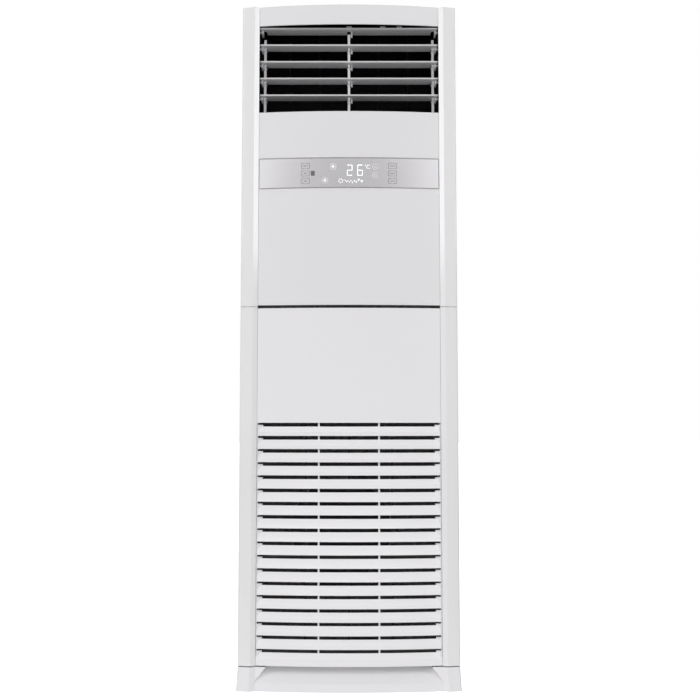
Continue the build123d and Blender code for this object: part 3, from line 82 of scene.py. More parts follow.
def blend(tree, pattern, colour, other_colour):
    """Two colours blended by a pattern. The first may also be a socket."""
    first = linear(colour) if isinstance(colour, str) else colour
    mix = add_node(tree, "ShaderNodeMix", {0: pattern, 6: first, 7: linear(other_colour)}, data_type="RGBA")
    return mix.outputs[2]


def spread(tree, pattern, low, high):
    """A pattern from 0 to 1 spread evenly over low to high."""
    evenly = add_node(tree, "ShaderNodeMapRange", {"Value": pattern, "To Min": low, "To Max": high})
    return evenly.outputs["Result"]


def ramp(tree, value, start, end, low, high):
    """A smooth change from low to high as a value goes from start to end."""
    smooth = add_node(tree, "ShaderNodeMapRange", {"Value": value, "From Min": start, "From Max": end,
                      "To Min": low, "To Max": high}, interpolation_type="SMOOTHSTEP")
    return smooth.outputs["Result"]


def noise(tree, place, scale, detail, roughness=0.5):
    return add_node(tree, "ShaderNodeTexNoise", {"Vector": place, "Scale": scale, "Detail": detail,
                    "Roughness": roughness}).outputs["Fac"]


def finish_of(name, constants=None):
    """A new material with its surface shader, and where its patterns are measured from."""
    material = bpy.data.materials.new(name)
    material.use_nodes = True
    tree = material.node_tree
    tree.nodes.clear()
    place = add_node(tree, "ShaderNodeTexCoord").outputs["Object"]
    surface = add_node(tree, "ShaderNodeBsdfPrincipled", constants)
    add_node(tree, "ShaderNodeOutputMaterial", {"Surface": surface.outputs[0]})
    return material, tree, surface, place


def tint_by(tree, surface, pattern, colour, other_colour):
    """Lets a pattern blend two colours into the base colour."""
    tree.links.new(blend(tree, pattern, colour, other_colour), surface.inputs["Base Color"])


def dent_by(tree, surface, pattern, strength, depth):
    """Lets a pattern raise and sink the surface by up to a depth."""
    dent = add_node(tree, "ShaderNodeBump", {"Height": pattern, "Strength": strength, "Distance": depth})
    tree.links.new(dent.outputs["Normal"], surface.inputs["Normal"])


def moulded_abs(name, colour, cloud_colour, roughness, peel_mm, peel_height):
    """Moulded plastic: even colour, faint flow clouds, and an orange peel of a wavelength in millimetres."""
    material, tree, surface, place = finish_of(name, {"IOR": 1.54})
    tint_by(tree, surface, noise(tree, place, 3.0, 3.0), colour, cloud_colour)
    peel = noise(tree, place, 1000 / peel_mm, 1.0)
    rubbed = spread(tree, noise(tree, place, 45.0, 4.0), roughness - 0.01, roughness + 0.01)
    tree.links.new(rubbed, surface.inputs["Roughness"])
    dent_by(tree, surface, peel, peel_height, 0.2 * MM)
    return material


def dress(material, *pieces):
    """Puts a finish on CAD nodes, given by name, or on pieces made here."""
    for piece in pieces:
        mesh = (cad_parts[piece] if isinstance(piece, str) else piece).data
        mesh.materials.clear()
        mesh.materials.append(material)


# ------------------------------------------------------------------ tools for made shapes
# A repeated shape is grown by a geometry tree with named sizes and then kept as a plain mesh.
def new_tree(name, **sizes):
    """A geometry tree with named size inputs, and the node that gives them."""
    tree = bpy.data.node_groups.new(name, "GeometryNodeTree")
    tree.interface.new_socket("Geometry", in_out="OUTPUT", socket_type="NodeSocketGeometry")
    for label, kind in sizes.items():
        tree.interface.new_socket(label, in_out="INPUT", socket_type=kind)
    return tree, add_node(tree, "NodeGroupInput").outputs


def close_tree(tree, geometry, material):
    """Ends a geometry tree in real faces with their finish."""
    real = add_node(tree, "GeometryNodeRealizeInstances", {0: geometry})
    coated = add_node(tree, "GeometryNodeSetMaterial", {"Geometry": real.outputs[0], "Material": material})
    add_node(tree, "NodeGroupOutput", {0: coated.outputs[0]})


def plain_piece(name, tree, **sizes):
    """The tree's result as a plain mesh object at the origin."""
    piece = bpy.data.objects.new(name, bpy.data.meshes.new(name))
    bpy.context.scene.collection.objects.link(piece)
    grower = piece.modifiers.new("grower", "NODES")
    grower.node_group = tree
    for label, value in sizes.items():
        grower[tree.interface.items_tree[label].identifier] = value
    graph = bpy.context.evaluated_depsgraph_get()
    mesh = bpy.data.meshes.new_from_object(piece.evaluated_get(graph))
    piece.modifiers.remove(grower)
    piece.data = mesh
    return piece


def vector(tree, **parts):
    """A vector from sockets named X, Y or Z; the rest are 0."""
    return add_node(tree, "ShaderNodeCombineXYZ", parts).outputs[0]


def scaled(tree, value, factor):
    return add_node(tree, "ShaderNodeMath", {0: value, 1: factor}, operation="MULTIPLY").outputs[0]


def cube(tree, size):
    return add_node(tree, "GeometryNodeMeshCube", {"Size": size}).outputs[0]


def moved(tree, geometry, **changes):
    """Geometry with its Translation or Rotation changed."""
    return add_node(tree, "GeometryNodeTransform", {"Geometry": geometry, **changes}).outputs[0]


def set_on(tree, points, shape):
    """A copy of the shape on every point."""
    return add_node(tree, "GeometryNodeInstanceOnPoints", {"Points": points, "Instance": shape}).outputs[0]


def joined(tree, *parts):
    join = add_node(tree, "GeometryNodeJoinGeometry")
    for part in parts:
        tree.links.new(part, join.inputs[0])
    return join.outputs[0]


# ------------------------------------------------------------------ studio: softboxes, room and floor
# Two tall softboxes stand half left and half right with their lower edges at chest height, so that
# only the upper part of each glossy bevel catches one. A high bank and a low one in front lift what
# leans back.
def softbox(name, place, aim, width, height, power):
    lamp = bpy.data.lights.new(name, "AREA")
    lamp.shape = "RECTANGLE"
    lamp.size = width
    lamp.size_y = height
    lamp.energy = power
    stand = bpy.data.objects.new(name, lamp)
    bpy.context.scene.collection.objects.link(stand)
    stand.location = place
    stand.rotation_euler = (Vector(aim) - Vector(place)).to_track_quat("-Z", "Y").to_euler()


softbox("softbox_right", (2.26, -2.33, 2.48), (-0.2, -0.2, 2.48), width=0.7, height=1.64, power=23.0)
softbox("softbox_left", (-2.26, -2.33, 2.48), (0.2, -0.2, 2.48), width=0.7, height=1.64, power=17.0)
softbox("front_bank", (0.0, -4.4, 5.2), (0.0, -0.2, 0.7), width=4.0, height=1.6, power=20.0)
softbox("low_fill", (0.0, -2.3, 0.12), (0.0, -0.2, 0.25), width=2.6, height=0.5, power=12.5)


def facing(tree, direction, way):
    """How squarely a direction faces a way: 1 along it, -1 against it."""
    dot = add_node(tree, "ShaderNodeVectorMath", {0: direction, 1: way}, operation="DOT_PRODUCT")
    return dot.outputs["Value"]


# The room lights the cabinet most from the front and left, and again from behind. Gloss mirrors it
# as white with a dimmer patch round the camera. The camera itself, and clear pieces, see plain white.
room = bpy.data.worlds.new("white_room")
bpy.context.scene.world = room
room.use_nodes = True
tree = room.node_tree
tree.nodes.clear()
ray = add_node(tree, "ShaderNodeLightPath")
direction = add_node(tree, "ShaderNodeTexCoord").outputs["Generated"]
ahead = facing(tree, direction, (0.0, -1.0, 0.06))
window_side = facing(tree, direction, (-0.46, -0.89, -0.04))
dim = ramp(tree, ahead, 0.93, 0.985, 1.0, 0.40)
frontal = ramp(tree, window_side, 0.2, 0.95, 0.14, 1.09)
from_behind = ramp(tree, ahead, -0.05, -0.7, 0.0, 1.3)
all_round = add_node(tree, "ShaderNodeMath", {0: frontal, 1: from_behind}, operation="ADD")
white = (1, 1, 1, 1)
lit = add_node(tree, "ShaderNodeBackground", {"Color": linear("#FBFAFA"), "Strength": all_round.outputs[0]})
seen = add_node(tree, "ShaderNodeBackground", {"Color": white, "Strength": 1.0})
mirrored = add_node(tree, "ShaderNodeBackground", {"Color": white, "Strength": dim})
glossy_mix = add_node(tree, "ShaderNodeMixShader", {0: ray.outputs["Is Glossy Ray"], 1: lit.outputs[0],
                      2: mirrored.outputs[0]})
clear_mix = add_node(tree, "ShaderNodeMixShader", {0: ray.outputs["Is Transmission Ray"],
                     1: glossy_mix.outputs[0], 2: seen.outputs[0]})
camera_mix = add_node(tree, "ShaderNodeMixShader", {0: ray.outputs["Is Camera Ray"], 1: clear_mix.outputs[0],
                      2: seen.outputs[0]})
add_node(tree, "ShaderNodeOutputWorld", {"Surface": camera_mix.outputs[0]})

# White paper covers the floor. It is lifted to white where the camera sees it, and throws back a
# weak pool of light round the foot.
floor_reach = 30
floor_corners = [(x * floor_reach, y * floor_reach, 0) for x, y in ((-1, -1), (1, -1), (1, 1), (-1, 1))]
floor_mesh = bpy.data.meshes.new("floor")
floor_mesh.from_pydata(floor_corners, [], [(0, 1, 2, 3)])
floor = bpy.data.objects.new("floor", floor_mesh)
bpy.context.scene.collection.objects.link(floor)
sweep = bpy.data.materials.new("white_paper_sweep")
sweep.use_nodes = True
tree = sweep.node_tree
tree.nodes.clear()
seen_by_camera = add_node(tree, "ShaderNodeLightPath").outputs["Is Camera Ray"]
bounce = blend(tree, seen_by_camera, "#B0B0B1", "#E9E9EA")
paper = add_node(tree, "ShaderNodeBsdfDiffuse", {"Color": bounce})
spot = add_node(tree, "ShaderNodeNewGeometry").outputs["Position"]
away = add_node(tree, "ShaderNodeVectorMath", {0: spot}, operation="LENGTH").outputs["Value"]
pool = ramp(tree, away, 0.5, 1.7, 0.3, 0.02)
glow = add_node(tree, "ShaderNodeEmission", {"Strength": spread(tree, seen_by_camera, pool, 0.84)})
glowing_paper = add_node(tree, "ShaderNodeAddShader", {0: paper.outputs[0], 1: glow.outputs[0]})
add_node(tree, "ShaderNodeOutputMaterial", {"Surface": glowing_paper.outputs[0]})
floor.data.materials.append(sweep)

# ------------------------------------------------------------------ foot: plinth and base tray
# The plinth is a ring of moulded gloss ABS, clipped over the edge of a folded galvanised tray that
# carries the bolts to the floor. Each crystal of the zinc turns the light its own way.
foot_abs = moulded_abs("gloss_white_foot_abs", "#EDECEE", "#EBEAEC", roughness=0.26, peel_mm=3.0,
                       peel_height=0.02)
dress(foot_abs, "base_plinth")

spangle_width = 9.0 * MM
galvanised, tree, surface, place = finish_of("galvanised_sheet", {"Metallic": 1.0})
spangle = add_node(tree, "ShaderNodeTexVoronoi", {"Vector": place, "Scale": 1 / spangle_width,
                   "Randomness": 1.0}).outputs["Color"]
tint_by(tree, surface, spangle, "#B9BEC2", "#8F959A")
tree.links.new(spread(tree, spangle, 0.30, 0.52), surface.inputs["Roughness"])
dent_by(tree, surface, noise(tree, place, 400.0, 2.0), 0.08, 0.3 * MM)
dress(galvanised, "base_tray")

# ------------------------------------------------------------------ cabinet: side panels, rear panel, gland
# Folded sheet steel, powder coated white after forming. The coat is thick enough to round the folds
# and leaves a fine pebble. A rubber gland closes the cable hole in the back.
powder_coat, tree, surface, place = finish_of("white_powder_coat", {"Roughness": 0.42, "IOR": 1.5})
tint_by(tree, surface, noise(tree, place, 2.2, 2.0), "#E2E2E3", "#DEDEE0")
dent_by(tree, surface, noise(tree, place, 700.0, 3.0, roughness=0.6), 0.22, 0.3 * MM)
dress(powder_coat, "side_panel_left", "side_panel_right", "rear_panel")

gland_rubber, tree, surface, place = finish_of("black_gland_rubber", {"Roughness": 0.7})
bloom = noise(tree, place, 160.0, 5.0)
tint_by(tree, surface, bloom, "#1B1B1C", "#2C2C2D")
dent_by(tree, surface, bloom, 0.15, 0.4 * MM)
dress(gland_rubber, "cable_gland")

# ------------------------------------------------------------------ rear screws
# Fourteen zinc plated pan head screws with a cross recess hold the rear panel to the side panels'
# flanges, seven down each edge.
zinc_plate, tree, surface, place = finish_of("bright_zinc_plate", {"Metallic": 1.0, "Roughness": 0.33})
tint_by(tree, surface, noise(tree, place, 120.0, 4.0), "#C9CCD0", "#AEB2B8")
dent_by(tree, surface, noise(tree, place, 900.0, 2.0), 0.1, 0.2 * MM)

recess_long = 4.6 * MM
recess_wide = 0.9 * MM
recess_tall = 2.6 * MM
tree, size = new_tree("pan_head_screws", head_radius="NodeSocketFloat", head_height="NodeSocketFloat",
                      across="NodeSocketFloat", down="NodeSocketFloat", middle="NodeSocketVector",
                      reach="NodeSocketFloat", shank_radius="NodeSocketFloat")
head = add_node(tree, "GeometryNodeMeshCone", {"Vertices": 28, "Radius Bottom": size["head_radius"],
                "Radius Top": 3.1 * MM, "Depth": size["head_height"]})
recess = joined(tree, cube(tree, (recess_long, recess_wide, recess_tall)),
                cube(tree, (recess_wide, recess_long, recess_tall)))
recess_up = moved(tree, recess, Translation=vector(tree, Z=size["head_height"]))
driven = add_node(tree, "GeometryNodeMeshBoolean", {0: head.outputs[0], 1: recess_up}, operation="DIFFERENCE")
shank = add_node(tree, "GeometryNodeMeshCylinder", {"Vertices": 12, "Radius": size["shank_radius"],
                 "Depth": size["reach"]})
shank_down = moved(tree, shank.outputs[0], Translation=vector(tree, Z=scaled(tree, size["reach"], -0.5)))
screw = joined(tree, driven.outputs[0], shank_down)
holes = add_node(tree, "GeometryNodeMeshGrid", {"Size X": size["across"], "Size Y": size["down"],
                 "Vertices X": 2, "Vertices Y": 7})
stood_up = moved(tree, set_on(tree, holes.outputs[0], screw), Translation=size["middle"],
                 Rotation=(math.radians(-90), 0, 0))
close_tree(tree, stood_up, zinc_plate)

low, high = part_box("rear_screws")
head_radius = 4.5 * MM
screws = plain_piece("rear_pan_head_screws", tree, head_radius=head_radius, head_height=2.1 * MM,
                     across=high.x - low.x - 2 * head_radius, down=high.z - low.z - 2 * head_radius,
                     middle=(0.0, high.y - 2.2 * MM, (low.z + high.z) / 2), reach=7.5 * MM,
                     shank_radius=1.8 * MM)
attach(screws, "cabinet")
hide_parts("rear_screws")

# ------------------------------------------------------------------ outer mouldings
# The crown, trims, fascia and bowed front panel are all moulded in gloss white ABS, hooked and screwed
# to the steel cabinet from inside. The trims have the higher polish.
white_abs = moulded_abs("gloss_white_abs", "#EAE9EB", "#E9E8EA", roughness=0.24, peel_mm=3.0,
                        peel_height=0.02)
dress(white_abs, "top_cover", "top_fascia", "upper_front_panel")
trim_abs = moulded_abs("polished_white_trim_abs", "#EDEDEE", "#ECECED", roughness=0.15, peel_mm=3.0,
                       peel_height=0.015)
dress(trim_abs, "upper_trim_left", "upper_trim_right", "lower_trim_left", "lower_trim_right")

# ------------------------------------------------------------------ display strip and keys
# A silver strip let into the bowed panel. It is painted with metallic lacquer over ABS, and the six
# keys are cut from the same strip, so that only their printed borders tell them apart.
flake_width = 0.9 * MM
silver_lacquer, tree, surface, place = finish_of("silver_metallic_lacquer", {
    "Metallic": 0.75, "Roughness": 0.24, "Coat Weight": 0.3, "Coat Roughness": 0.08})
flake = add_node(tree, "ShaderNodeTexVoronoi", {"Vector": place, "Scale": 1 / flake_width, "Randomness": 1.0})
speckle = blend(tree, flake.outputs["Color"], "#E4E2E5", "#EBE9EC")
tint_by(tree, surface, noise(tree, place, 9.0, 3.0), speckle, "#E6E4E7")
dent_by(tree, surface, flake.outputs["Distance"], 0.04, 0.2 * MM)
key_nodes = [f"key_{side}_{row}" for side in ("left", "right") for row in ("upper", "middle", "lower")]
dress(silver_lacquer, "display_panel", *key_nodes)

green_resist, tree, surface, place = finish_of("green_solder_resist", {"Roughness": 0.35})
track = add_node(tree, "ShaderNodeTexBrick", {"Vector": place, "Scale": 120.0, "Color1": linear("#16512F"),
                 "Color2": linear("#1A5C36"), "Mortar": linear("#2B7A4B"), "Mortar Size": 0.03})
tree.links.new(track.outputs["Color"], surface.inputs["Base Color"])
dress(green_resist, "display_board", "main_board")

guide_acrylic, tree, surface, place = finish_of("milky_acrylic", {"Roughness": 0.3})
tint_by(tree, surface, noise(tree, place, 60.0, 3.0), "#EFEFEC", "#E4E4E0")
dress(guide_acrylic, "light_guide")

# ------------------------------------------------------------------ readout, printed marks and painted shade
# White light shines through the strip where the lacquer is left off: a two figure temperature, its
# unit and small pictograms. The keys' borders and bars are screen printed in warm grey, and a dark
# line of painted shade stands in for the groove's shadow round the strip. Places on the strip are
# x and z in millimetres.
lit_window, tree, surface, place = finish_of("lit_white_window", {
    "Emission Strength": 0.45, "Roughness": 0.4})
shine = blend(tree, noise(tree, place, 500.0, 2.0), "#FFFFFF", "#F4F6FA")
tree.links.new(shine, surface.inputs["Base Color"])
tree.links.new(shine, surface.inputs["Emission Color"])

faint_window = moulded_abs("unlit_pale_print", "#F4F3F5", "#F0EFF1", roughness=0.4, peel_mm=1.0,
                           peel_height=0.1)
grey_print = moulded_abs("warm_grey_print", "#8B888B", "#858285", roughness=0.45, peel_mm=1.0,
                         peel_height=0.1)
# Painted shade: the dark grey of the line round the strip, standing in for the shadow in its groove.
groove_shade_paint = moulded_abs("painted_groove_shadow", "#7A7577", "#737073", roughness=0.4, peel_mm=1.0,
                           peel_height=0.1)
dark_lens = moulded_abs("smoked_receiver_lens", "#77757A", "#6D6B70", roughness=0.25, peel_mm=2.0,
                        peel_height=0.03)

half_panel = 257.5 * MM
bow_rise = 17.5 * MM
bow_radius = (half_panel ** 2 + bow_rise ** 2) / (2 * bow_rise)
crown_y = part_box("upper_front_panel")[0].y
strip_sink = 0.3 * MM
spot_stand = 0.12 * MM
spot_root = 0.1 * MM
line_squash = 0.036        # a stroke is drawn round and then pressed down to this share of its depth


def strip_y(x):
    """The strip's face at x."""
    return crown_y + strip_sink + bow_radius - math.sqrt(bow_radius ** 2 - x ** 2)


def lay_on_strip(name, mesh, material, body):
    """Makes a mark on the strip, a print or a line of painted shade, into a piece that moves with a body."""
    piece = bpy.data.objects.new(name, mesh)
    bpy.context.scene.collection.objects.link(piece)
    dress(material, piece)
    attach(piece, body)


def lines_on_strip(name, material, strokes, body="cabinet"):
    """Lines laid on the strip: each stroke is its width, whether it closes, and its points."""
    line = bpy.data.curves.new(name, "CURVE")
    line.dimensions = "3D"
    line.bevel_depth = MM
    line.bevel_resolution = 1
    line.use_fill_caps = True
    for width, closed, points in strokes:
        spline = line.splines.new("POLY")
        spline.points.add(len(points) - 1)
        spline.use_cyclic_u = closed
        for point, (x, z) in zip(spline.points, points):
            point.co = (x * MM, 0, z * MM, 1)
            point.radius = width / 2
    drawn = bpy.data.objects.new(name + "_line", line)
    bpy.context.scene.collection.objects.link(drawn)
    mesh = bpy.data.meshes.new_from_object(drawn.evaluated_get(bpy.context.evaluated_depsgraph_get()))
    bpy.data.objects.remove(drawn)
    for vertex in mesh.vertices:
        vertex.co.y = strip_y(vertex.co.x) + vertex.co.y * line_squash
    lay_on_strip(name, mesh, material, body)


def printed_spots(name, material, outlines):
    """Filled marks laid on the strip, each an outline of points."""
    build = bmesh.new()
    for points in outlines:
        front = [build.verts.new((x * MM, strip_y(x * MM) - spot_stand, z * MM)) for x, z in points]
        back = [build.verts.new((x * MM, strip_y(x * MM) + spot_root, z * MM)) for x, z in points]
        build.faces.new(front)
        build.faces.new(back[::-1])
        for i in range(len(points)):
            j = (i + 1) % len(points)
            build.faces.new((front[j], front[i], back[i], back[j]))
    bmesh.ops.recalc_face_normals(build, faces=build.faces)
    mesh = bpy.data.meshes.new(name)
    build.to_mesh(mesh)
    build.free()
    lay_on_strip(name, mesh, material, "cabinet")


def around(centre, radius, angle):
    """The point at a distance and an angle from a centre."""
    return centre[0] + radius * math.cos(angle), centre[1] + radius * math.sin(angle)


def ring(centre, radius, count, start=0.0):
    """The corners of a regular outline, the first at the start angle."""
    return [around(centre, radius, start + 2 * math.pi * i / count) for i in range(count)]


def rounded_box(centre, width, height, corner):
    """The outline of a rounded rectangle."""
    points = []
    for turn, (sx, sz) in enumerate([(1, 1), (-1, 1), (-1, -1), (1, -1)]):
        pivot = (centre[0] + sx * (width / 2 - corner), centre[1] + sz * (height / 2 - corner))
        points += [around(pivot, corner, math.radians(90 * turn + 30 * step)) for step in range(4)]
    return points


figure_z = 1450.0
figure_wide = 13.6
figure_tall = 29.5


def figure(x, path):
    """A figure's stroke from corner names: t, m, b are rows and l, r are columns."""
    rows = {"t": figure_z + figure_tall / 2, "m": figure_z, "b": figure_z - figure_tall / 2}
    columns = {"l": x - figure_wide / 2, "r": x + figure_wide / 2}
    return [(columns[column], rows[row]) for row, column in path]


two = figure(2.3, ["tl", "tr", "mr", "ml", "bl", "br"])
six = figure(31.4, ["tr", "tl", "bl", "br", "mr", "ml"])
unit_c = [(59.5, 1464.6), (52.5, 1464.6), (50.8, 1462.5), (50.8, 1457.6), (52.5, 1455.5), (59.5, 1455.5)]
unit_degree = ring((46.6, 1463.6), 1.6, 8)
lines_on_strip("temperature_figures", lit_window, [
    (3.9, False, two), (3.9, False, six), (2.3, False, unit_c), (1.3, True, unit_degree)])

# The fan speed is a six petalled fan and a wave of dots that grow to the right.
fan_hub = (-23.3, 1419.4)
petals = [ring(around(fan_hub, 5.6, math.pi / 3 * turn + 0.3), 1.8, 8) for turn in range(6)]
speed_dots = [(-12.0, 1421.6, 1.5), (-9.2, 1419.2, 1.6), (-6.3, 1416.8, 1.7), (-3.2, 1419.4, 1.8),
              (1.0, 1415.8, 2.0), (5.6, 1419.6, 2.1), (9.8, 1414.8, 2.4), (15.2, 1419.6, 2.5),
              (21.2, 1416.2, 3.0), (27.8, 1422.8, 3.3), (36.6, 1418.8, 3.9)]
speed_wave = [ring((x, z), radius, 4) for x, z, radius in speed_dots]
printed_spots("fan_speed_marks", lit_window, petals + speed_wave)

# Two modes stand in rounded frames on the left, a sun and a rotor, and two in rings on the right.
sun = (-45.2, 1460.7)
rotor = (-68.0, 1421.3)
upper_sign = (75.0, 1460.4)
lower_sign = (74.6, 1435.2)
sun_rays = [(1.3, False, [around(sun, 4.2, math.pi / 4 * i), around(sun, 6.0, math.pi / 4 * i)])
            for i in range(8)]
rotor_arms = [(1.7, False, [around(rotor, 1.2, a), around(rotor, 5.6, a + 0.35)])
              for a in [math.pi / 3 * i - 0.17 for i in range(6)]]
printed_spots("mode_sun_disc", lit_window, [ring(sun, 3.1, 14)])
lines_on_strip("mode_marks", lit_window, sun_rays + rotor_arms)
lines_on_strip("mode_frames", faint_window, [
    (1.6, True, rounded_box(sun, 16.2, 17.2, 3.6)),
    (1.6, True, rounded_box(rotor, 16.2, 17.2, 3.6)),
    (1.6, True, ring(upper_sign, 8.8, 8, math.pi / 8)),
    (1.6, True, ring(lower_sign, 8.8, 8, math.pi / 8)),
    (1.8, True, ring((upper_sign[0], upper_sign[1] - 0.8), 4.6, 3, math.pi / 2)),
    (1.8, True, ring(lower_sign, 4.6, 4))])

# A dark line of painted shade runs round the strip, just inside its edge: the shadow in the groove round it.
strip_low, strip_high = (corner.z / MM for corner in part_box("display_panel"))
strip_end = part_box("display_panel")[1].x / MM
shade_line_inset = 0.8
shade_line_steps = 24
across = [(strip_end - shade_line_inset) * step / shade_line_steps for step in range(-shade_line_steps, shade_line_steps + 1)]
lines_on_strip("painted_strip_groove_shadow", groove_shade_paint, [
    (1.5, True, [(x, strip_high - shade_line_inset) for x in across]
     + [(x, strip_low + shade_line_inset) for x in reversed(across)])])
printed_spots("remote_receiver", dark_lens, [rounded_box((-102.8, 1441.6), 11.4, 14.2, 1.2)])

# Each key has a border and a bar. The middle left key has an arrow up instead, the lower left one down.
key_x = 124.0
key_z = 1441.5
key_pitch = 21.6
arrow_rise = 1.8
for side, x in (("left", -key_x), ("right", key_x)):
    for row, rise in (("upper", key_pitch), ("middle", 0.0), ("lower", -key_pitch)):
        z = key_z + rise
        mark = [(x - 6.5, z), (x + 6.5, z)]
        if side == "left" and row != "upper":
            tip = arrow_rise if row == "middle" else -arrow_rise
            mark = [(x - 4.2, z - tip), (x, z + tip), (x + 4.2, z - tip)]
        lines_on_strip(f"key_print_{side}_{row}", grey_print, [
            (1.2, True, rounded_box((x, z), 22.6, 14.0, 2.6)), (2.3, False, mark)],
            body=f"key_{side}_{row}_cap")

# ------------------------------------------------------------------ outlet: frame, louvers, vanes, drives
# The outlet is a black ABS box with five pale grey louvers that nod together on white acetal links.
# Five black upright vanes stand behind them on their own link bar and a small geared motor.
black_abs = moulded_abs("black_outlet_abs", "#080809", "#060607", roughness=0.6, peel_mm=1.2,
                        peel_height=0.1)
black_abs.node_tree.nodes["Principled BSDF"].inputs["Specular IOR Level"].default_value = 0.12
dress(black_abs, "outlet_frame", "vane_1", "vane_2", "vane_3", "vane_4", "vane_5", "vane_link")
louver_abs = moulded_abs("pale_grey_louver_abs", "#D2D2D4", "#CFCFD1", roughness=0.30, peel_mm=1.6,
                         peel_height=0.04)
dress(louver_abs, "louver_1", "louver_2", "louver_3", "louver_4", "louver_5")
link_acetal = moulded_abs("white_acetal_links", "#EEEEEF", "#EAEAEB", roughness=0.35, peel_mm=1.6,
                          peel_height=0.04)
dress(link_acetal, "louver_links")
dress(zinc_plate, "swing_motor")

# ------------------------------------------------------------------ air duct, partition and coil
# The duct is a liner moulded from black foam beads. It holds the leaning coil: aluminium fins pressed
# on copper tube, with galvanised end plates. Its water runs to a grey pan on the partition.
bead_width = 4.0 * MM
bead_foam, tree, surface, place = finish_of("black_bead_foam", {"Roughness": 0.75})
bead = add_node(tree, "ShaderNodeTexVoronoi", {"Vector": place, "Scale": 1 / bead_width, "Randomness": 0.9},
                feature="DISTANCE_TO_EDGE")
skin = add_node(tree, "ShaderNodeMapRange", {"Value": bead.outputs["Distance"], "From Max": 0.15})
tint_by(tree, surface, skin.outputs["Result"], "#0C0C0D", "#161617")
dent_by(tree, surface, skin.outputs["Result"], 0.4, 0.6 * MM)
dress(bead_foam, "air_duct")
dress(galvanised, "partition_plate", "coil_end_plates")

fin_stock, tree, surface, place = finish_of("aluminium_fin_stock", {"Metallic": 1.0, "Roughness": 0.42})
tint_by(tree, surface, noise(tree, place, 25.0, 4.0), "#C6CBD0", "#B2B8BE")

# Real fins stand 1.8 mm apart. They are drawn 2.4 mm apart, so that the stack still reads as leaves.
fin_count = 190
fin_thick = 0.2 * MM
fin_deep = 43.5 * MM
fin_tall = 599.0 * MM
fin_inset = 0.15 * MM
coil_tilt = math.radians(19.9)
tree, size = new_tree("fin_stack", count="NodeSocketInt", pitch="NodeSocketFloat", leaf="NodeSocketVector",
                      first="NodeSocketVector", lean="NodeSocketVector")
stack = add_node(tree, "GeometryNodeMeshLine", {"Count": size["count"],
                 "Offset": vector(tree, X=size["pitch"])})
leaves = set_on(tree, stack.outputs[0], cube(tree, size["leaf"]))
close_tree(tree, moved(tree, leaves, Translation=size["first"], Rotation=size["lean"]), fin_stock)
low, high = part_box("evaporator_fins")
fins = plain_piece("coil_fin_leaves", tree, count=fin_count, leaf=(fin_thick, fin_deep, fin_tall),
                   pitch=(high.x - low.x - 2 * fin_inset) / (fin_count - 1),
                   first=(low.x + fin_inset, (low.y + high.y) / 2, (low.z + high.z) / 2),
                   lean=(-coil_tilt, 0.0, 0.0))
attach(fins, "cabinet")
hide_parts("evaporator_fins")

drawn_copper, tree, surface, place = finish_of("drawn_copper_tube", {"Metallic": 1.0})
tarnish = noise(tree, place, 30.0, 5.0, roughness=0.65)
tint_by(tree, surface, tarnish, "#C98762", "#9A5B3E")
tree.links.new(spread(tree, tarnish, 0.22, 0.45), surface.inputs["Roughness"])
dress(drawn_copper, "evaporator_tubes", "gas_pipe", "liquid_pipe")

pan_plastic = moulded_abs("grey_polystyrene_pan", "#8B8D90", "#838588", roughness=0.45, peel_mm=1.5,
                          peel_height=0.12)
dress(pan_plastic, "drain_pan", "drain_pipe")

# ------------------------------------------------------------------ blower
# A glass filled nylon wheel turns in a galvanised scroll in front of its motor. The motor is a
# pressed can with a stoved enamel coat, on a folded bracket.
wheel_nylon = moulded_abs("glass_filled_nylon", "#232326", "#2B2B2E", roughness=0.55, peel_mm=0.8,
                          peel_height=0.2)
dress(wheel_nylon, "blower_wheel")
dress(galvanised, "blower_scroll", "orifice_plate", "motor_bracket")

turning_pitch = 0.6 * MM
turned_steel, tree, surface, place = finish_of("turned_shaft_steel", {"Metallic": 1.0, "Roughness": 0.28})
rings = add_node(tree, "ShaderNodeTexWave", {"Vector": place, "Scale": 0.314 / turning_pitch,
                 "Distortion": 0.6}, bands_direction="Y")
tint_by(tree, surface, rings.outputs["Fac"], "#B9BCC0", "#A8ABB0")
dress(turned_steel, "motor_shaft")

motor_enamel, tree, surface, place = finish_of("stoved_motor_enamel", {"Roughness": 0.35})
run = noise(tree, place, 80.0, 3.0)
tint_by(tree, surface, run, "#3A3C40", "#45474B")
dent_by(tree, surface, run, 0.15, 0.5 * MM)
dress(motor_enamel, "fan_motor")

# ------------------------------------------------------------------ crossbar and control box
# Folded galvanised sheet behind the grip slit ties the two sides together. The control box and its
# lid are the same sheet, with the board on stand-offs and a grey terminal block inside.
dress(galvanised, "front_crossbar", "control_box", "control_box_cover")
terminal_nylon = moulded_abs("dark_grey_terminal_nylon", "#3C3D40", "#36373A", roughness=0.5, peel_mm=0.8,
                             peel_height=0.15)
dress(terminal_nylon, "terminal_block")

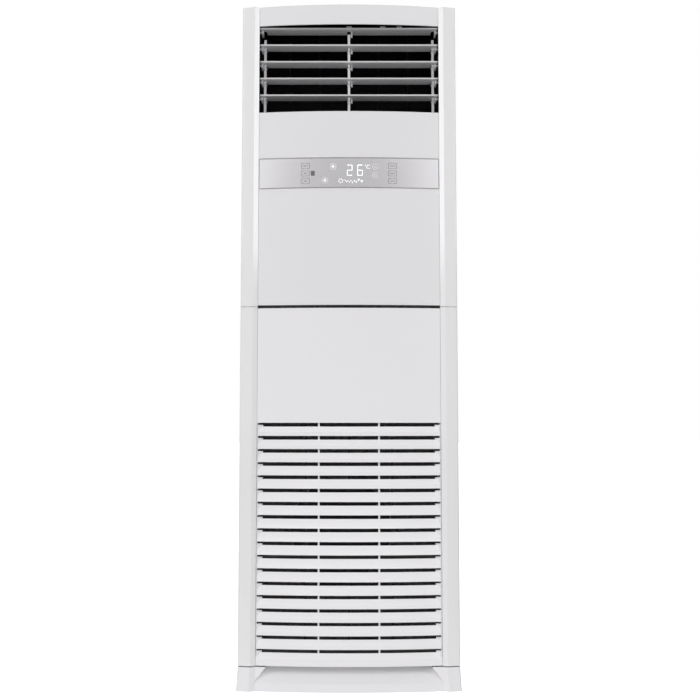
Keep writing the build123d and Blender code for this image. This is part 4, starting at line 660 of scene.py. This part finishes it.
# ------------------------------------------------------------------ intake door and filter
# The slatted door is one gloss white moulding on two pins. Behind it a black frame carries a woven
# net that lifts out to be washed.
door_abs = moulded_abs("gloss_white_door_abs", "#EFEEF0", "#EEEDEF", roughness=0.26, peel_mm=3.0,
                       peel_height=0.02)
dress(door_abs, "lower_front_panel")
filter_abs = moulded_abs("black_filter_abs", "#18181A", "#141416", roughness=0.5, peel_mm=1.0,
                         peel_height=0.15)
dress(filter_abs, "filter_frame")

net_thread, tree, surface, place = finish_of("woven_polypropylene_net", {"Roughness": 0.6})
tint_by(tree, surface, noise(tree, place, 600.0, 2.0), "#17171A", "#222226")

# The real net has a thread every 0.9 mm. It is drawn with one every 2.4 mm, so that the weave shows.
net_columns = 207
net_rows = 270
thread = 0.9 * MM
tree, size = new_tree("filter_net", columns="NodeSocketInt", rows="NodeSocketInt", wide="NodeSocketFloat",
                      tall="NodeSocketFloat", thread="NodeSocketFloat", middle="NodeSocketVector")
columns = add_node(tree, "GeometryNodeMeshLine", {
    "Count": size["columns"], "Start Location": vector(tree, X=scaled(tree, size["wide"], -0.5)),
    "Offset": vector(tree, X=scaled(tree, size["wide"], 0.5))}, mode="END_POINTS")
rows = add_node(tree, "GeometryNodeMeshLine", {
    "Count": size["rows"], "Start Location": vector(tree, Z=scaled(tree, size["tall"], -0.5)),
    "Offset": vector(tree, Z=scaled(tree, size["tall"], 0.5))}, mode="END_POINTS")
warp = cube(tree, vector(tree, X=size["thread"], Y=size["thread"], Z=size["tall"]))
weft = cube(tree, vector(tree, X=size["wide"], Y=size["thread"], Z=size["thread"]))
woven = joined(tree, set_on(tree, columns.outputs[0], warp), set_on(tree, rows.outputs[0], weft))
close_tree(tree, moved(tree, woven, Translation=size["middle"]), net_thread)
low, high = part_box("filter_mesh")
net = plain_piece("filter_net_threads", tree, columns=net_columns, rows=net_rows, thread=thread,
                  wide=high.x - low.x - thread, tall=high.z - low.z - thread,
                  middle=((low.x + high.x) / 2, (low.y + high.y) / 2, (low.z + high.z) / 2))
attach(net, "cabinet")
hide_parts("filter_mesh")
